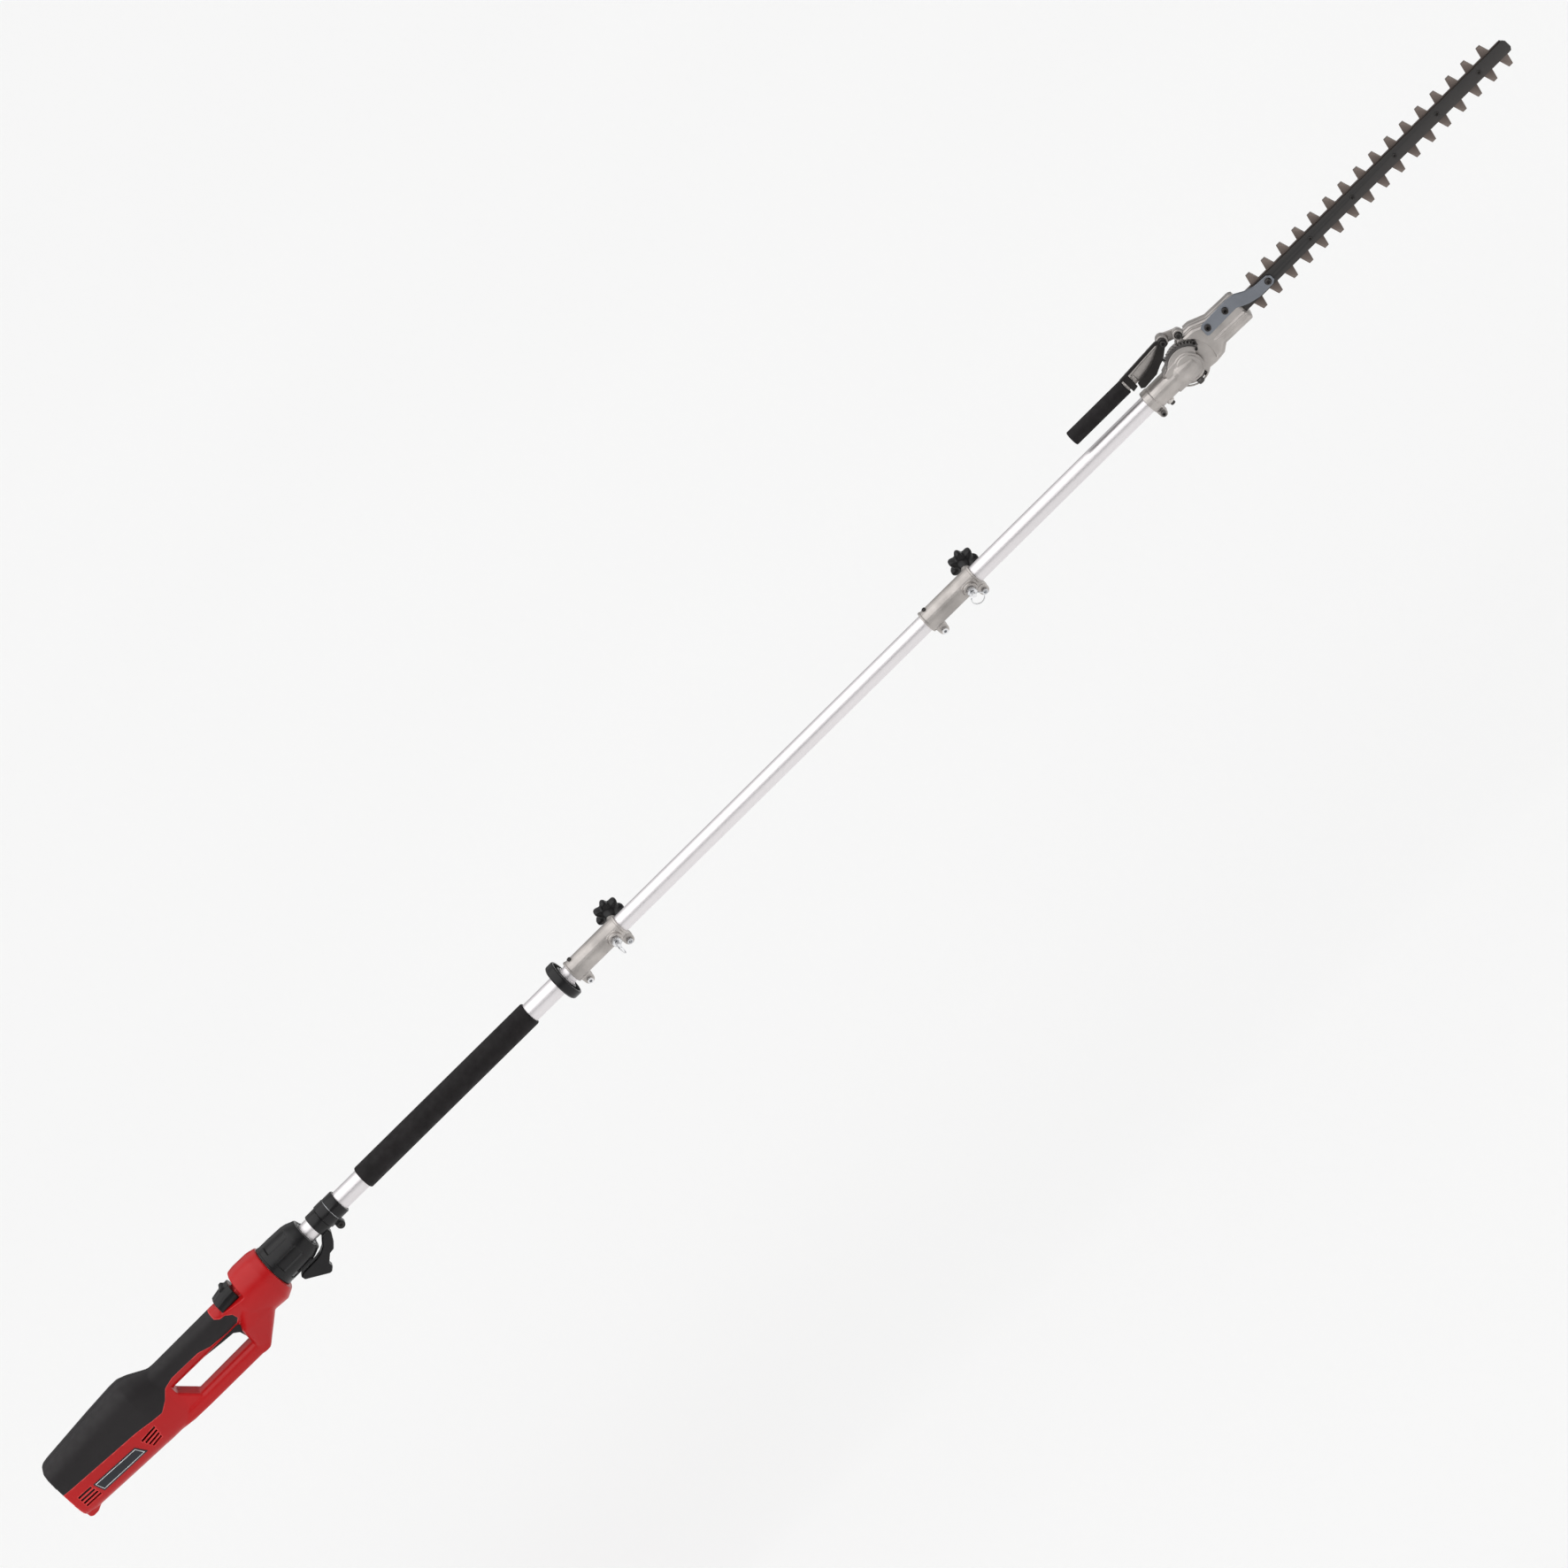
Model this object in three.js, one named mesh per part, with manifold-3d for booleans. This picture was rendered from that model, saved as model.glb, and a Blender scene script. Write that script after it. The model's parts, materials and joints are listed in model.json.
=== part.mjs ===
// Pole hedge trimmer. Millimetres, +Z up. The pole runs along +X from the motor housing to the blade.
// Inside the file X counts from the rear end and Z from the pole axis. The last lines move the
// origin to the middle of the underside. The right side is -Y, seen by a person who holds the tool.
import * as THREE from "three";
import { mergeVertices } from "three/addons/utils/BufferGeometryUtils.js";
import Module from "manifold-3d";

const wasm = await Module();
wasm.setup();

// Driving dimensions
const GAP = 0.3; // clearance between touching pieces
const WALL = 2.6; // moulded shell
const COLLAR_REAR = 336;
const HOUSING_LENGTH = 424;
const CAP_FRONT = 489.5;
const GRIP_HALF_WIDTH = 18;
const BODY_HALF_WIDTH = 37.5;
const BAR_BOTTOM = -74; // underside of the lower bar of the rear handle
const LOOP_REAR = 205;
const LOOP_FRONT = 331;
const LOOP_TOP = -21.5;
const LOOP_BOTTOM = -51;

const HANDLE_TUBE_RADIUS = 14.5;
const TUBE_RADIUS = 13;
const TUBE_BORE = 11.5;
const SHAFT_RADIUS = 4;
const TUBE_REAR = 464;
const SHAFT_REAR = 458;
const MOTOR_REAR = 379;
const MOTOR_LENGTH = 71;
const MOTOR_RADIUS = 26.5;
const COLLAR_RING_REAR = 504;
const FOAM_REAR = 599;
const FOAM_FRONT = 922;
const STOP_RING_REAR = 978;
const STOP_RING_WIDTH = 14.5;

const COUPLER_LENGTH = 94;
const COUPLER_RADIUS = 16.1;
const COUPLER_REAR = [1002, 1683];
const COUPLER_ROLL = THREE.MathUtils.degToRad(20); // knob side up, pin side down
const PIN_FROM_REAR = 76.5;
const KNOB_FROM_REAR = 89;
const KNOB_RADIUS = 22;
const KNOB_REACH = 45;
const PIN_REACH = 34;

const SLEEVE_REAR = 2107;
const PIVOT_X = 2183;
const CHEEK_RADIUS = 30;
const SECTOR_TIP = 36.6;
const SECTOR_ROOT = 33.6;
const SECTOR_FROM = 25; // degrees from +X towards +Z
const SECTOR_TO = 131;
const SECTOR_PITCH = 7.5;
const SECTOR_RIGHT = -14;
const SECTOR_LEFT = -9;
const CASE_FRONT = 2292;
const CASE_RIGHT = -15;
const CASE_SPLIT = 3;
const CASE_LEFT = 20;
const CRANK_X = 2222;
const BLADE_Z = 7;
const THROW = 7.3; // half of a blade's stroke
const CAM_RADIUS = 5;
const LEVER_Z = 40;
const LEVER_REAR = 2001;
const BOSS_X = 2181.5;
const BOSS_Z = 49.5;

const BAR_HALF_WIDTH = 9.2;
const BAR_FRONT = 2796;
const BLADE_HALF_WIDTH = 10.5;
const TOOTH_REACH = 25; // blade centre line to tooth tip
const TOOTH_PITCH = 29.1;
const UPPER_TEETH = 16;
const LOWER_TEETH = 17;
const FIRST_UPPER_TOOTH = 2327;
const FIRST_LOWER_TOOTH = 2312.5;
const BAR_SCREW_PITCH = 80;
const BAR_SCREWS = 6;
const FIRST_BAR_SCREW = 2341;

const ON_AXIS = 0.01; // radius of a profile point that stands on its axis
const BIG = 200; // reach of a cutting block past the part it cuts

// ---------- Materials ----------
function material(color, roughness, metalness) {
  return new THREE.MeshStandardMaterial({ color, roughness, metalness });
}
const RED = material(0xc01818, 0.42, 0);
const BLACK = material(0x1b1a1c, 0.6, 0);
const SOFT = material(0x242223, 0.8, 0);
const FOAM = material(0x1c191a, 0.9, 0);
const ALUMINIUM = material(0xd6d2d4, 0.32, 1);
const CAST = material(0xa8a19c, 0.5, 1);
const STEEL = material(0x8d9096, 0.35, 1);
const DARK_STEEL = material(0x2a2726, 0.5, 1);
const TOOTH_STEEL = material(0x574b46, 0.45, 1);
const BOARD = material(0x1f5a34, 0.6, 0);
const COPPER = material(0x9a5a32, 0.4, 1);
const BADGE = material(0x14181d, 0.3, 0);

// ---------- Solids ----------
// A closed three.js geometry as a solid, with its faces turned outwards.
function solid(geometry) {
  const flat = geometry.index ? geometry.toNonIndexed() : geometry.clone();
  const bare = new THREE.BufferGeometry();
  bare.setAttribute("position", flat.getAttribute("position"));
  const merged = mergeVertices(bare, 1e-4);
  const vertProperties = merged.attributes.position.array;
  const source = merged.index.array;
  const kept = [];
  for (let i = 0; i < source.length; i += 3) {
    const [a, b, c] = [source[i], source[i + 1], source[i + 2]];
    if (a !== b && b !== c && c !== a) kept.push(a, b, c);
  }
  const build = (list) =>
    new wasm.Manifold(new wasm.Mesh({ numProp: 3, vertProperties, triVerts: new Uint32Array(list) }));
  const made = build(kept);
  if (made.volume() > 0) return made;
  const turned = [];
  for (let i = 0; i < kept.length; i += 3) turned.push(kept[i], kept[i + 2], kept[i + 1]);
  return build(turned);
}

function join(...pieces) {
  return pieces.reduce((sum, piece) => sum.add(piece));
}

function cut(piece, ...tools) {
  return tools.reduce((rest, tool) => rest.subtract(tool), piece);
}

function box(x0, x1, y0, y1, z0, z1) {
  const g = new THREE.BoxGeometry(x1 - x0, y1 - y0, z1 - z0);
  return solid(g.translate((x0 + x1) / 2, (y0 + y1) / 2, (z0 + z1) / 2));
}

function rodX(radius, x0, x1, y = 0, z = 0, sides = 24) {
  const g = new THREE.CylinderGeometry(radius, radius, x1 - x0, sides).rotateZ(-Math.PI / 2);
  return solid(g.translate((x0 + x1) / 2, y, z));
}

function rodY(radius, y0, y1, x = 0, z = 0, sides = 18) {
  const g = new THREE.CylinderGeometry(radius, radius, y1 - y0, sides);
  return solid(g.translate(x, (y0 + y1) / 2, z));
}

function rodZ(radius, z0, z1, x = 0, y = 0, sides = 18) {
  const g = new THREE.CylinderGeometry(radius, radius, z1 - z0, sides).rotateX(Math.PI / 2);
  return solid(g.translate(x, y, (z0 + z1) / 2));
}

// A profile of [x, radius] points, turned about the pole axis. It closes on itself.
function turnedX(profile, sides = 24) {
  const points = [...profile, profile[0]].map(([x, r]) => new THREE.Vector2(r, x));
  return solid(new THREE.LatheGeometry(points, sides).rotateZ(-Math.PI / 2));
}

// A profile of [y, radius] points, turned about an axis along Y through x, z.
function turnedY(profile, x, z, sides = 20) {
  const points = [...profile, profile[0]].map(([y, r]) => new THREE.Vector2(r, y));
  return solid(new THREE.LatheGeometry(points, sides).translate(x, 0, z));
}

// An outline in the XZ plane, extruded from y0 to y1, with its edges rounded by the bevel.
function plateOf(shape, y0, y1, bevel = 0, curveSegments = 8) {
  const settings = { depth: y1 - y0 - 2 * bevel, steps: 1, curveSegments, bevelEnabled: bevel > 0 };
  if (bevel > 0) {
    Object.assign(settings, { bevelThickness: bevel, bevelSize: bevel, bevelOffset: -bevel });
    settings.bevelSegments = 1;
  }
  const g = new THREE.ExtrudeGeometry(shape, settings).rotateX(Math.PI / 2);
  return solid(g.translate(0, y1 - bevel, 0));
}

function plate(outline, y0, y1, bevel = 0) {
  return plateOf(new THREE.Shape(outline.map(([x, z]) => new THREE.Vector2(x, z))), y0, y1, bevel);
}

// An outline in the XY plane, extruded upwards from z0 to z1.
function slab(outline, z0, z1) {
  const shape = new THREE.Shape(outline.map(([x, y]) => new THREE.Vector2(x, y)));
  const g = new THREE.ExtrudeGeometry(shape, { depth: z1 - z0, bevelEnabled: false });
  return solid(g.translate(0, 0, z0));
}

// Rings of points, skinned one to the next and closed at both ends.
function loft(rings) {
  const count = rings[0].length;
  const positions = rings.flat();
  const centre = (ring) => ring.reduce((sum, p) => sum.add(p), new THREE.Vector3()).divideScalar(count);
  positions.push(centre(rings[0]), centre(rings[rings.length - 1]));
  const first = rings.length * count;
  const last = first + 1;
  const index = [];
  for (let i = 0; i < count; i += 1) {
    const j = (i + 1) % count;
    for (let k = 0; k + 1 < rings.length; k += 1) {
      const a = k * count;
      const b = a + count;
      index.push(a + i, a + j, b + j, a + i, b + j, b + i);
    }
    const end = (rings.length - 1) * count;
    index.push(first, j, i, last, end + i, end + j);
  }
  const g = new THREE.BufferGeometry().setFromPoints(positions);
  g.setIndex(index);
  return solid(g);
}

// A rounded cross-section at x: a superellipse between two heights, with its half width.
function roundedRing(x, bottom, top, halfWidth, squareness, count) {
  const power = 2 / squareness;
  const bend = (v) => Math.sign(v) * Math.abs(v) ** power;
  return Array.from({ length: count }, (_, i) => {
    const angle = ((i + 0.5) / count) * 2 * Math.PI;
    const y = halfWidth * bend(Math.cos(angle));
    const z = (bottom + top) / 2 + ((top - bottom) / 2) * bend(Math.sin(angle));
    return new THREE.Vector3(x, y, z);
  });
}

// Sections of [x, bottom, top, halfWidth, squareness], all drawn in by the inset.
function body(sections, inset) {
  const count = inset > 0 ? 16 : 24;
  return loft(sections.map(([x, bottom, top, halfWidth, squareness]) =>
    roundedRing(x, bottom + inset, top - inset, halfWidth - inset, squareness, count)));
}

// A rounded cross-section at a height z, between two places along the pole.
function columnRing(z, rear, front, halfWidth, count) {
  return Array.from({ length: count }, (_, i) => {
    const angle = ((i + 0.5) / count) * 2 * Math.PI;
    const bend = (v) => Math.sign(v) * Math.abs(v) ** 0.7;
    const x = (rear + front) / 2 + ((front - rear) / 2) * bend(Math.cos(angle));
    return new THREE.Vector3(x, halfWidth * bend(Math.sin(angle)), z);
  });
}

function hexagon(radius, y0, y1, x, z) {
  return rodY(radius, y0, y1, x, z, 6);
}

// A toothed wheel on an axis along Y.
function gear(teeth, tip, root, y0, y1, x, z) {
  const shape = new THREE.Shape();
  for (let i = 0; i < teeth * 4; i += 1) {
    const angle = ((i + 0.5) / (teeth * 4)) * 2 * Math.PI;
    const radius = i % 4 < 2 ? tip : root;
    const [px, pz] = [x + radius * Math.cos(angle), z + radius * Math.sin(angle)];
    if (i === 0) shape.moveTo(px, pz);
    else shape.lineTo(px, pz);
  }
  return plateOf(shape, y0, y1);
}

// A ring of points with teeth, for a bevel gear. The axis is X when along is "x", else Y.
function toothedRing(along, centre, at, radius, depth, teeth) {
  return Array.from({ length: teeth * 4 }, (_, i) => {
    const angle = (i / (teeth * 4)) * 2 * Math.PI;
    const r = i % 4 < 2 ? radius : radius - depth;
    const [u, v] = [r * Math.cos(angle), r * Math.sin(angle)];
    return along === "x" ? new THREE.Vector3(at, u, v) : new THREE.Vector3(centre + u, at, v);
  });
}

class Helix extends THREE.Curve {
  constructor(radius, length, turns) {
    super();
    Object.assign(this, { radius, length, turns });
  }

  getPoint(t, target = new THREE.Vector3()) {
    const angle = t * this.turns * 2 * Math.PI;
    return target.set(this.radius * Math.cos(angle), t * this.length, this.radius * Math.sin(angle));
  }
}

// A coil spring along +Y from the origin.
function spring(coilRadius, wireRadius, length, turns) {
  const wire = new THREE.Shape();
  wire.absarc(0, 0, wireRadius, 0, 2 * Math.PI);
  const extrudePath = new Helix(coilRadius, length, turns);
  const g = new THREE.ExtrudeGeometry(wire, { steps: turns * 7, curveSegments: 2, extrudePath });
  return solid(g);
}

// ---------- Nodes ----------
const root = new THREE.Group();

function add(parent, name, piece, look) {
  const mesh = piece.getMesh();
  const g = new THREE.BufferGeometry();
  g.setAttribute("position", new THREE.BufferAttribute(new Float32Array(mesh.vertProperties), 3));
  g.setIndex(new THREE.BufferAttribute(new Uint32Array(mesh.triVerts), 1));
  g.computeVertexNormals();
  const node = new THREE.Mesh(g, look);
  node.name = name;
  parent.add(node);
}

// ---------- Motor housing ----------
const REAR_BODY = [
  [0, -58, 26, 33, 4],
  [14, -63.5, 30, 36, 4],
  [100, -67.5, 36, BODY_HALF_WIDTH, 3.6],
  [140, -69.5, 38.3, BODY_HALF_WIDTH, 3.4],
  [152, -70.5, 37.5, 37, 3.3],
  [166, -71.5, 33, 34, 3.1],
  [194, -73.2, 21.9, 21.4, 2.8],
  [207, -75, 19.4, 17.4, 2.8],
];
const GRIP = [
  [180, LOOP_TOP, 22, 21, 2.6],
  [212, LOOP_TOP, 20, GRIP_HALF_WIDTH, 2.5],
  [260, LOOP_TOP - 0.5, 20.4, GRIP_HALF_WIDTH, 2.4],
  [332, LOOP_TOP, 20.5, 19.5, 2.6],
  [356, -24, 28, 27, 2.6],
];
const LOWER_BAR = [
  [140, BAR_BOTTOM + 6, LOOP_BOTTOM - 4, 14, 3],
  [200, BAR_BOTTOM - 1, LOOP_BOTTOM, 18.5, 3],
  [230, BAR_BOTTOM - 2, LOOP_BOTTOM, 18.5, 3],
  [338, BAR_BOTTOM - 2, LOOP_BOTTOM + 1, 19.5, 3],
];
const MOTOR_COLLAR = [
  [COLLAR_REAR, -24, 23, 22, 2.4],
  [350, -30, 29, 30, 2.3],
  [364, -39, 35.5, 37.5, 2.3],
  [384, -43, 38.5, 39.5, 2.3],
  [410, -45, 38, 39.5, 2.3],
  [HOUSING_LENGTH, -38, 35, 36, 2.2],
];
// Front strut of the handle loop, from the lower bar up to the motor collar: [z, rear, front, halfWidth].
const STRUT = [
  [BAR_BOTTOM - 1, LOOP_FRONT - 1, 346, 18.5],
  [BAR_BOTTOM + 8, LOOP_FRONT, 356, 19.5],
  [-47, LOOP_FRONT, 380, 24],
  [-30, LOOP_FRONT + 2, 398, 29],
  [-15, LOOP_FRONT + 20, 404, 34],
];
// Web in the rear corner of the loop.
const REAR_WEB = [[196, -28], [209, -28], [231, -52], [231, -62], [196, -62]];
// Outline of the soft grip on both sides: over the battery bay and along the rear handle.
const SOFT_PANEL = [
  [-2, -13], [134, -21], [152, -23.5], [178, -28.5], [192, -21], [203, -10.8], [220, -6.8],
  [270, -7.6], [288, -14], [322, -17], [331, -1], [322, 3], [317, 9], [317, 60], [-2, 60],
];
const BADGE_OUTLINE = [[41, -31], [118, -34.5], [127, -51], [46, -48.5]];

// The closed form of the housing, drawn in by the inset.
function housingForm(inset) {
  const strut = loft(STRUT.map(([z, rear, front, halfWidth]) =>
    columnRing(z, rear + inset, front - inset, halfWidth - inset, inset > 0 ? 12 : 20)));
  const form = join(body(REAR_BODY, inset), body(GRIP, inset), body(LOWER_BAR, inset), strut,
    body(MOTOR_COLLAR, inset));
  if (inset > 0) return form;
  const foot = plate([[2, -56], [2.5, -65], [7, -68], [17, -67.5], [30, -61], [30, -56]], -22, 22, 2);
  return join(form, plate(REAR_WEB, -17, 17, 3), foot);
}

// Rows of slanted louvre slots through the side of the red shell.
function louvres() {
  const slots = [];
  for (let i = 0; i < 4; i += 1) {
    const z = -29 - i * 5.4;
    slots.push(plate([[14, z], [36 + i, z - 1], [36 + i, z - 3.4], [14, z - 2.4]], -BIG, BIG));
    const [rear, front] = [131 + i * 2, 158 - i];
    slots.push(plate([[rear, z - 5], [front, z - 3], [front, z - 5.4], [rear, z - 7.4]], -BIG, BIG));
  }
  return join(...slots);
}

function housing() {
  const outer = housingForm(0);
  const opening = body([[-1, -58, 26, 33, 4], [20, -58, 26, 33, 4]], WALL);
  const motorMouth = rodX(32.5, 400, HOUSING_LENGTH + 1);
  const triggerSlot = box(258, LOOP_FRONT + 8, -7.5, 7.5, -48, -12);
  const buttonPocket = cut(box(330, 374, -BIG, BIG, 8, BIG), box(329, 375, -17.4, 17.4, 0, 19));
  const badgeBed = cut(plate(BADGE_OUTLINE, -BIG, 0), body(REAR_BODY, 1.3));
  return cut(
    outer,
    housingForm(WALL),
    opening,
    motorMouth,
    triggerSlot,
    buttonPocket,
    louvres(),
    badgeBed,
    box(-BIG, HOUSING_LENGTH, -BIG, BIG, -BIG, BAR_BOTTOM),
  );
}

function addHousing() {
  const shell = housing();
  const right = box(-BIG, HOUSING_LENGTH + BIG, -BIG, -GAP / 2, -BIG, BIG);
  const left = box(-BIG, HOUSING_LENGTH + BIG, GAP / 2, BIG, -BIG, BIG);
  const panel = plate(SOFT_PANEL, -BIG, BIG);
  const panelRoom = join(panel, plate(SOFT_PANEL.map(([x, z]) => [x - GAP, z - GAP]), -BIG, BIG),
    plate(SOFT_PANEL.map(([x, z]) => [x + GAP, z - GAP]), -BIG, BIG));
  add(root, "housing_right", shell.intersect(right).subtract(panelRoom), RED);
  add(root, "housing_left", shell.intersect(left).subtract(panelRoom), RED);
  add(root, "soft_grip_right", shell.intersect(right).intersect(panel), SOFT);
  add(root, "soft_grip_left", shell.intersect(left).intersect(panel), SOFT);
  const inBed = BADGE_OUTLINE.map(([x, z]) => [x + 0.5 * Math.sign(84 - x), z + 0.5 * Math.sign(-41 - z)]);
  const badge = plate(inBed, -BIG, 0).intersect(body(REAR_BODY, -0.2)).subtract(body(REAR_BODY, 1));
  add(root, "badge_plate", badge, BADGE);
}
addHousing();

// ---------- Inside the housing ----------
const TRIGGER_PIVOT = [333, -12];

function addControls() {
  const trigger = plate([
    [264, -15], [264, -21], [300, -24.8], [321, -26.5], [328, -32], [331, -45], [335, -47],
    [338.5, -45], [337.5, -30], [337, -14], [333, -8.5], [329, -14],
  ], -6.8, 6.8, 1.2);
  const trunnions = rodY(2.6, -12, 12, ...TRIGGER_PIVOT, 12);
  add(root, "trigger", join(trigger, trunnions), BLACK);

  const saddle = body([[334, -10, 27, 20.2, 2.8], [352, -10, 30.5, 21, 2.8], [366, -10, 31, 21, 2.8]], 0);
  const saddleRoom = join(box(330, 370, -17.8, 17.8, -20, 19.4), box(330, 370, -BIG, BIG, -20, 8.6));
  const thumbRib = plate([[350, 29], [353, 33], [357, 33.5], [361, 29]], -12, 12, 1);
  add(root, "lock_button", cut(join(saddle, thumbRib), saddleRoom), BLACK);

  const switchBody = join(box(276, 312, -8, 8, -6, 12), rodZ(3, -7.5, -5, 300, 0, 12));
  add(root, "switch_body", switchBody, BLACK);

  const returnSpring = new Helix(3.2, 5.5, 3);
  const wire = new THREE.Shape();
  wire.absarc(0, 0, 0.5, 0, 2 * Math.PI);
  const coil = new THREE.ExtrudeGeometry(wire, { steps: 24, curveSegments: 2, extrudePath: returnSpring });
  coil.rotateX(Math.PI / 2).translate(322, 0, -12.9);
  add(root, "trigger_spring", solid(coil), STEEL);

  const chips = [[150, 8], [160, 5], [170, 10]].map(([x, h]) => box(x, x + 6, -8, 6, -39, -36 + h));
  add(root, "control_board", join(box(146, 184, -15, 15, -40, -38), ...chips), BOARD);
}

function addMotor() {
  const [rear, front] = [MOTOR_REAR, MOTOR_REAR + MOTOR_LENGTH];
  const can = turnedX([
    [rear, 6], [rear, MOTOR_RADIUS], [front, MOTOR_RADIUS], [front, 6],
    [front - 3, 6], [front - 3, MOTOR_RADIUS - 3], [rear + 3, MOTOR_RADIUS - 3], [rear + 3, 6],
  ]);
  add(root, "motor_can", can, STEEL);
  const rotor = turnedX([
    [rear - 4, ON_AXIS], [rear - 4, SHAFT_RADIUS], [rear + 12, SHAFT_RADIUS], [rear + 12, 18],
    [rear + 50, 18], [rear + 50, 22], [rear + 54, 22], [rear + 54, SHAFT_RADIUS],
    [SHAFT_REAR - 1, SHAFT_RADIUS], [SHAFT_REAR - 1, ON_AXIS],
  ], 16);
  add(root, "rotor", rotor, COPPER);
}

function addBattery() {
  const pack = body([
    [2.5, -50, 18, 27, 4], [6, -53, 20.5, 28.8, 4], [112, -53, 20.5, 28.8, 4], [116, -51, 18, 27, 4],
  ], 0);
  const recess = box(-5, 26, -12.4, 12.4, 8, 40);
  add(root, "battery_pack", cut(pack, recess), BLACK);
  const button = join(box(4, 25, -12, 12, 11, 15), plate([[4, 14], [4, 18], [8, 18], [25, 15]], -12, 12));
  add(root, "battery_release", button, RED);
}

function addFrontCap() {
  const cap = turnedX([
    [HOUSING_LENGTH + GAP, 32], [470, 31], [478, 29.2], [484, 26], [CAP_FRONT, 24.5],
    [CAP_FRONT, HANDLE_TUBE_RADIUS + GAP], [462, HANDLE_TUBE_RADIUS + GAP], [462, 27.6],
    [HOUSING_LENGTH + GAP, 29],
  ], 24);
  const windows = [];
  for (const side of [-1, 1]) {
    const [from, to] = side > 0 ? [29, BIG] : [-BIG, -29];
    windows.push(plate([[432, -6], [432, 4], [476, 1], [476, -3]], from, to));
    windows.push(rodX(3.4, 474, 500, side * 22, 8, 10));
    windows.push(rodX(3.4, 474, 500, side * 14, -19, 10));
  }
  windows.push(box(440, 462, -7, 7, 29.4, BIG), box(440, 462, -7, 7, -BIG, -29.4));
  add(root, "front_cap", cut(cap, ...windows), BLACK);
}
addControls();
addMotor();
addBattery();
addFrontCap();

// ---------- Pole ----------
function tube(x0, x1, radius) {
  return turnedX([[x0, TUBE_BORE], [x0, radius], [x1, radius], [x1, TUBE_BORE]], 24);
}

// The direction across the pole that the lock pins point along: to the right and downwards.
const PIN_DIRECTION = new THREE.Vector3(0, -Math.cos(COUPLER_ROLL), -Math.sin(COUPLER_ROLL));

// The hole of a tube for the lock pin of a coupler.
function pinHole(x) {
  const g = new THREE.CylinderGeometry(2.6, 2.6, 10, 12);
  const turn = new THREE.Quaternion().setFromUnitVectors(new THREE.Vector3(0, 1, 0), PIN_DIRECTION);
  g.applyQuaternion(turn);
  const centre = PIN_DIRECTION.clone().multiplyScalar(TUBE_RADIUS);
  return solid(g.translate(x, centre.y, centre.z));
}

function couplerMiddle(n) {
  return COUPLER_REAR[n] + COUPLER_LENGTH / 2;
}

function addTubes() {
  const stepX = STOP_RING_REAR + STOP_RING_WIDTH + 2;
  const handle = turnedX([
    [TUBE_REAR, TUBE_BORE], [TUBE_REAR, HANDLE_TUBE_RADIUS], [stepX, HANDLE_TUBE_RADIUS],
    [stepX, TUBE_RADIUS], [couplerMiddle(0) - 1, TUBE_RADIUS], [couplerMiddle(0) - 1, TUBE_BORE],
  ], 24);
  add(root, "handle_tube", handle, ALUMINIUM);
  const extension = tube(couplerMiddle(0) + 1, couplerMiddle(1) - 1, TUBE_RADIUS);
  add(root, "extension_tube", cut(extension, pinHole(COUPLER_REAR[0] + PIN_FROM_REAR)), ALUMINIUM);
  const head = tube(couplerMiddle(1) + 1, SLEEVE_REAR + 22, TUBE_RADIUS);
  add(root, "head_tube", cut(head, pinHole(COUPLER_REAR[1] + PIN_FROM_REAR)), ALUMINIUM);
}

function addShafts() {
  const ends = [SHAFT_REAR, couplerMiddle(0), couplerMiddle(1), 2149];
  const names = ["drive_shaft_rear", "drive_shaft_middle", "drive_shaft_front"];
  names.forEach((name, i) => {
    add(root, name, rodX(SHAFT_RADIUS, ends[i] + 1, ends[i + 1] - 1, 0, 0, 12), STEEL);
    const middle = (Math.max(ends[i], TUBE_REAR) + Math.min(ends[i + 1], SLEEVE_REAR)) / 2;
    const bearing = turnedX([
      [middle - 12, SHAFT_RADIUS + GAP], [middle - 12, TUBE_BORE - GAP],
      [middle + 12, TUBE_BORE - GAP], [middle + 12, SHAFT_RADIUS + GAP],
    ], 20);
    add(root, name.replace("drive_shaft", "shaft_bearing"), bearing, COPPER);
  });
}

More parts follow.
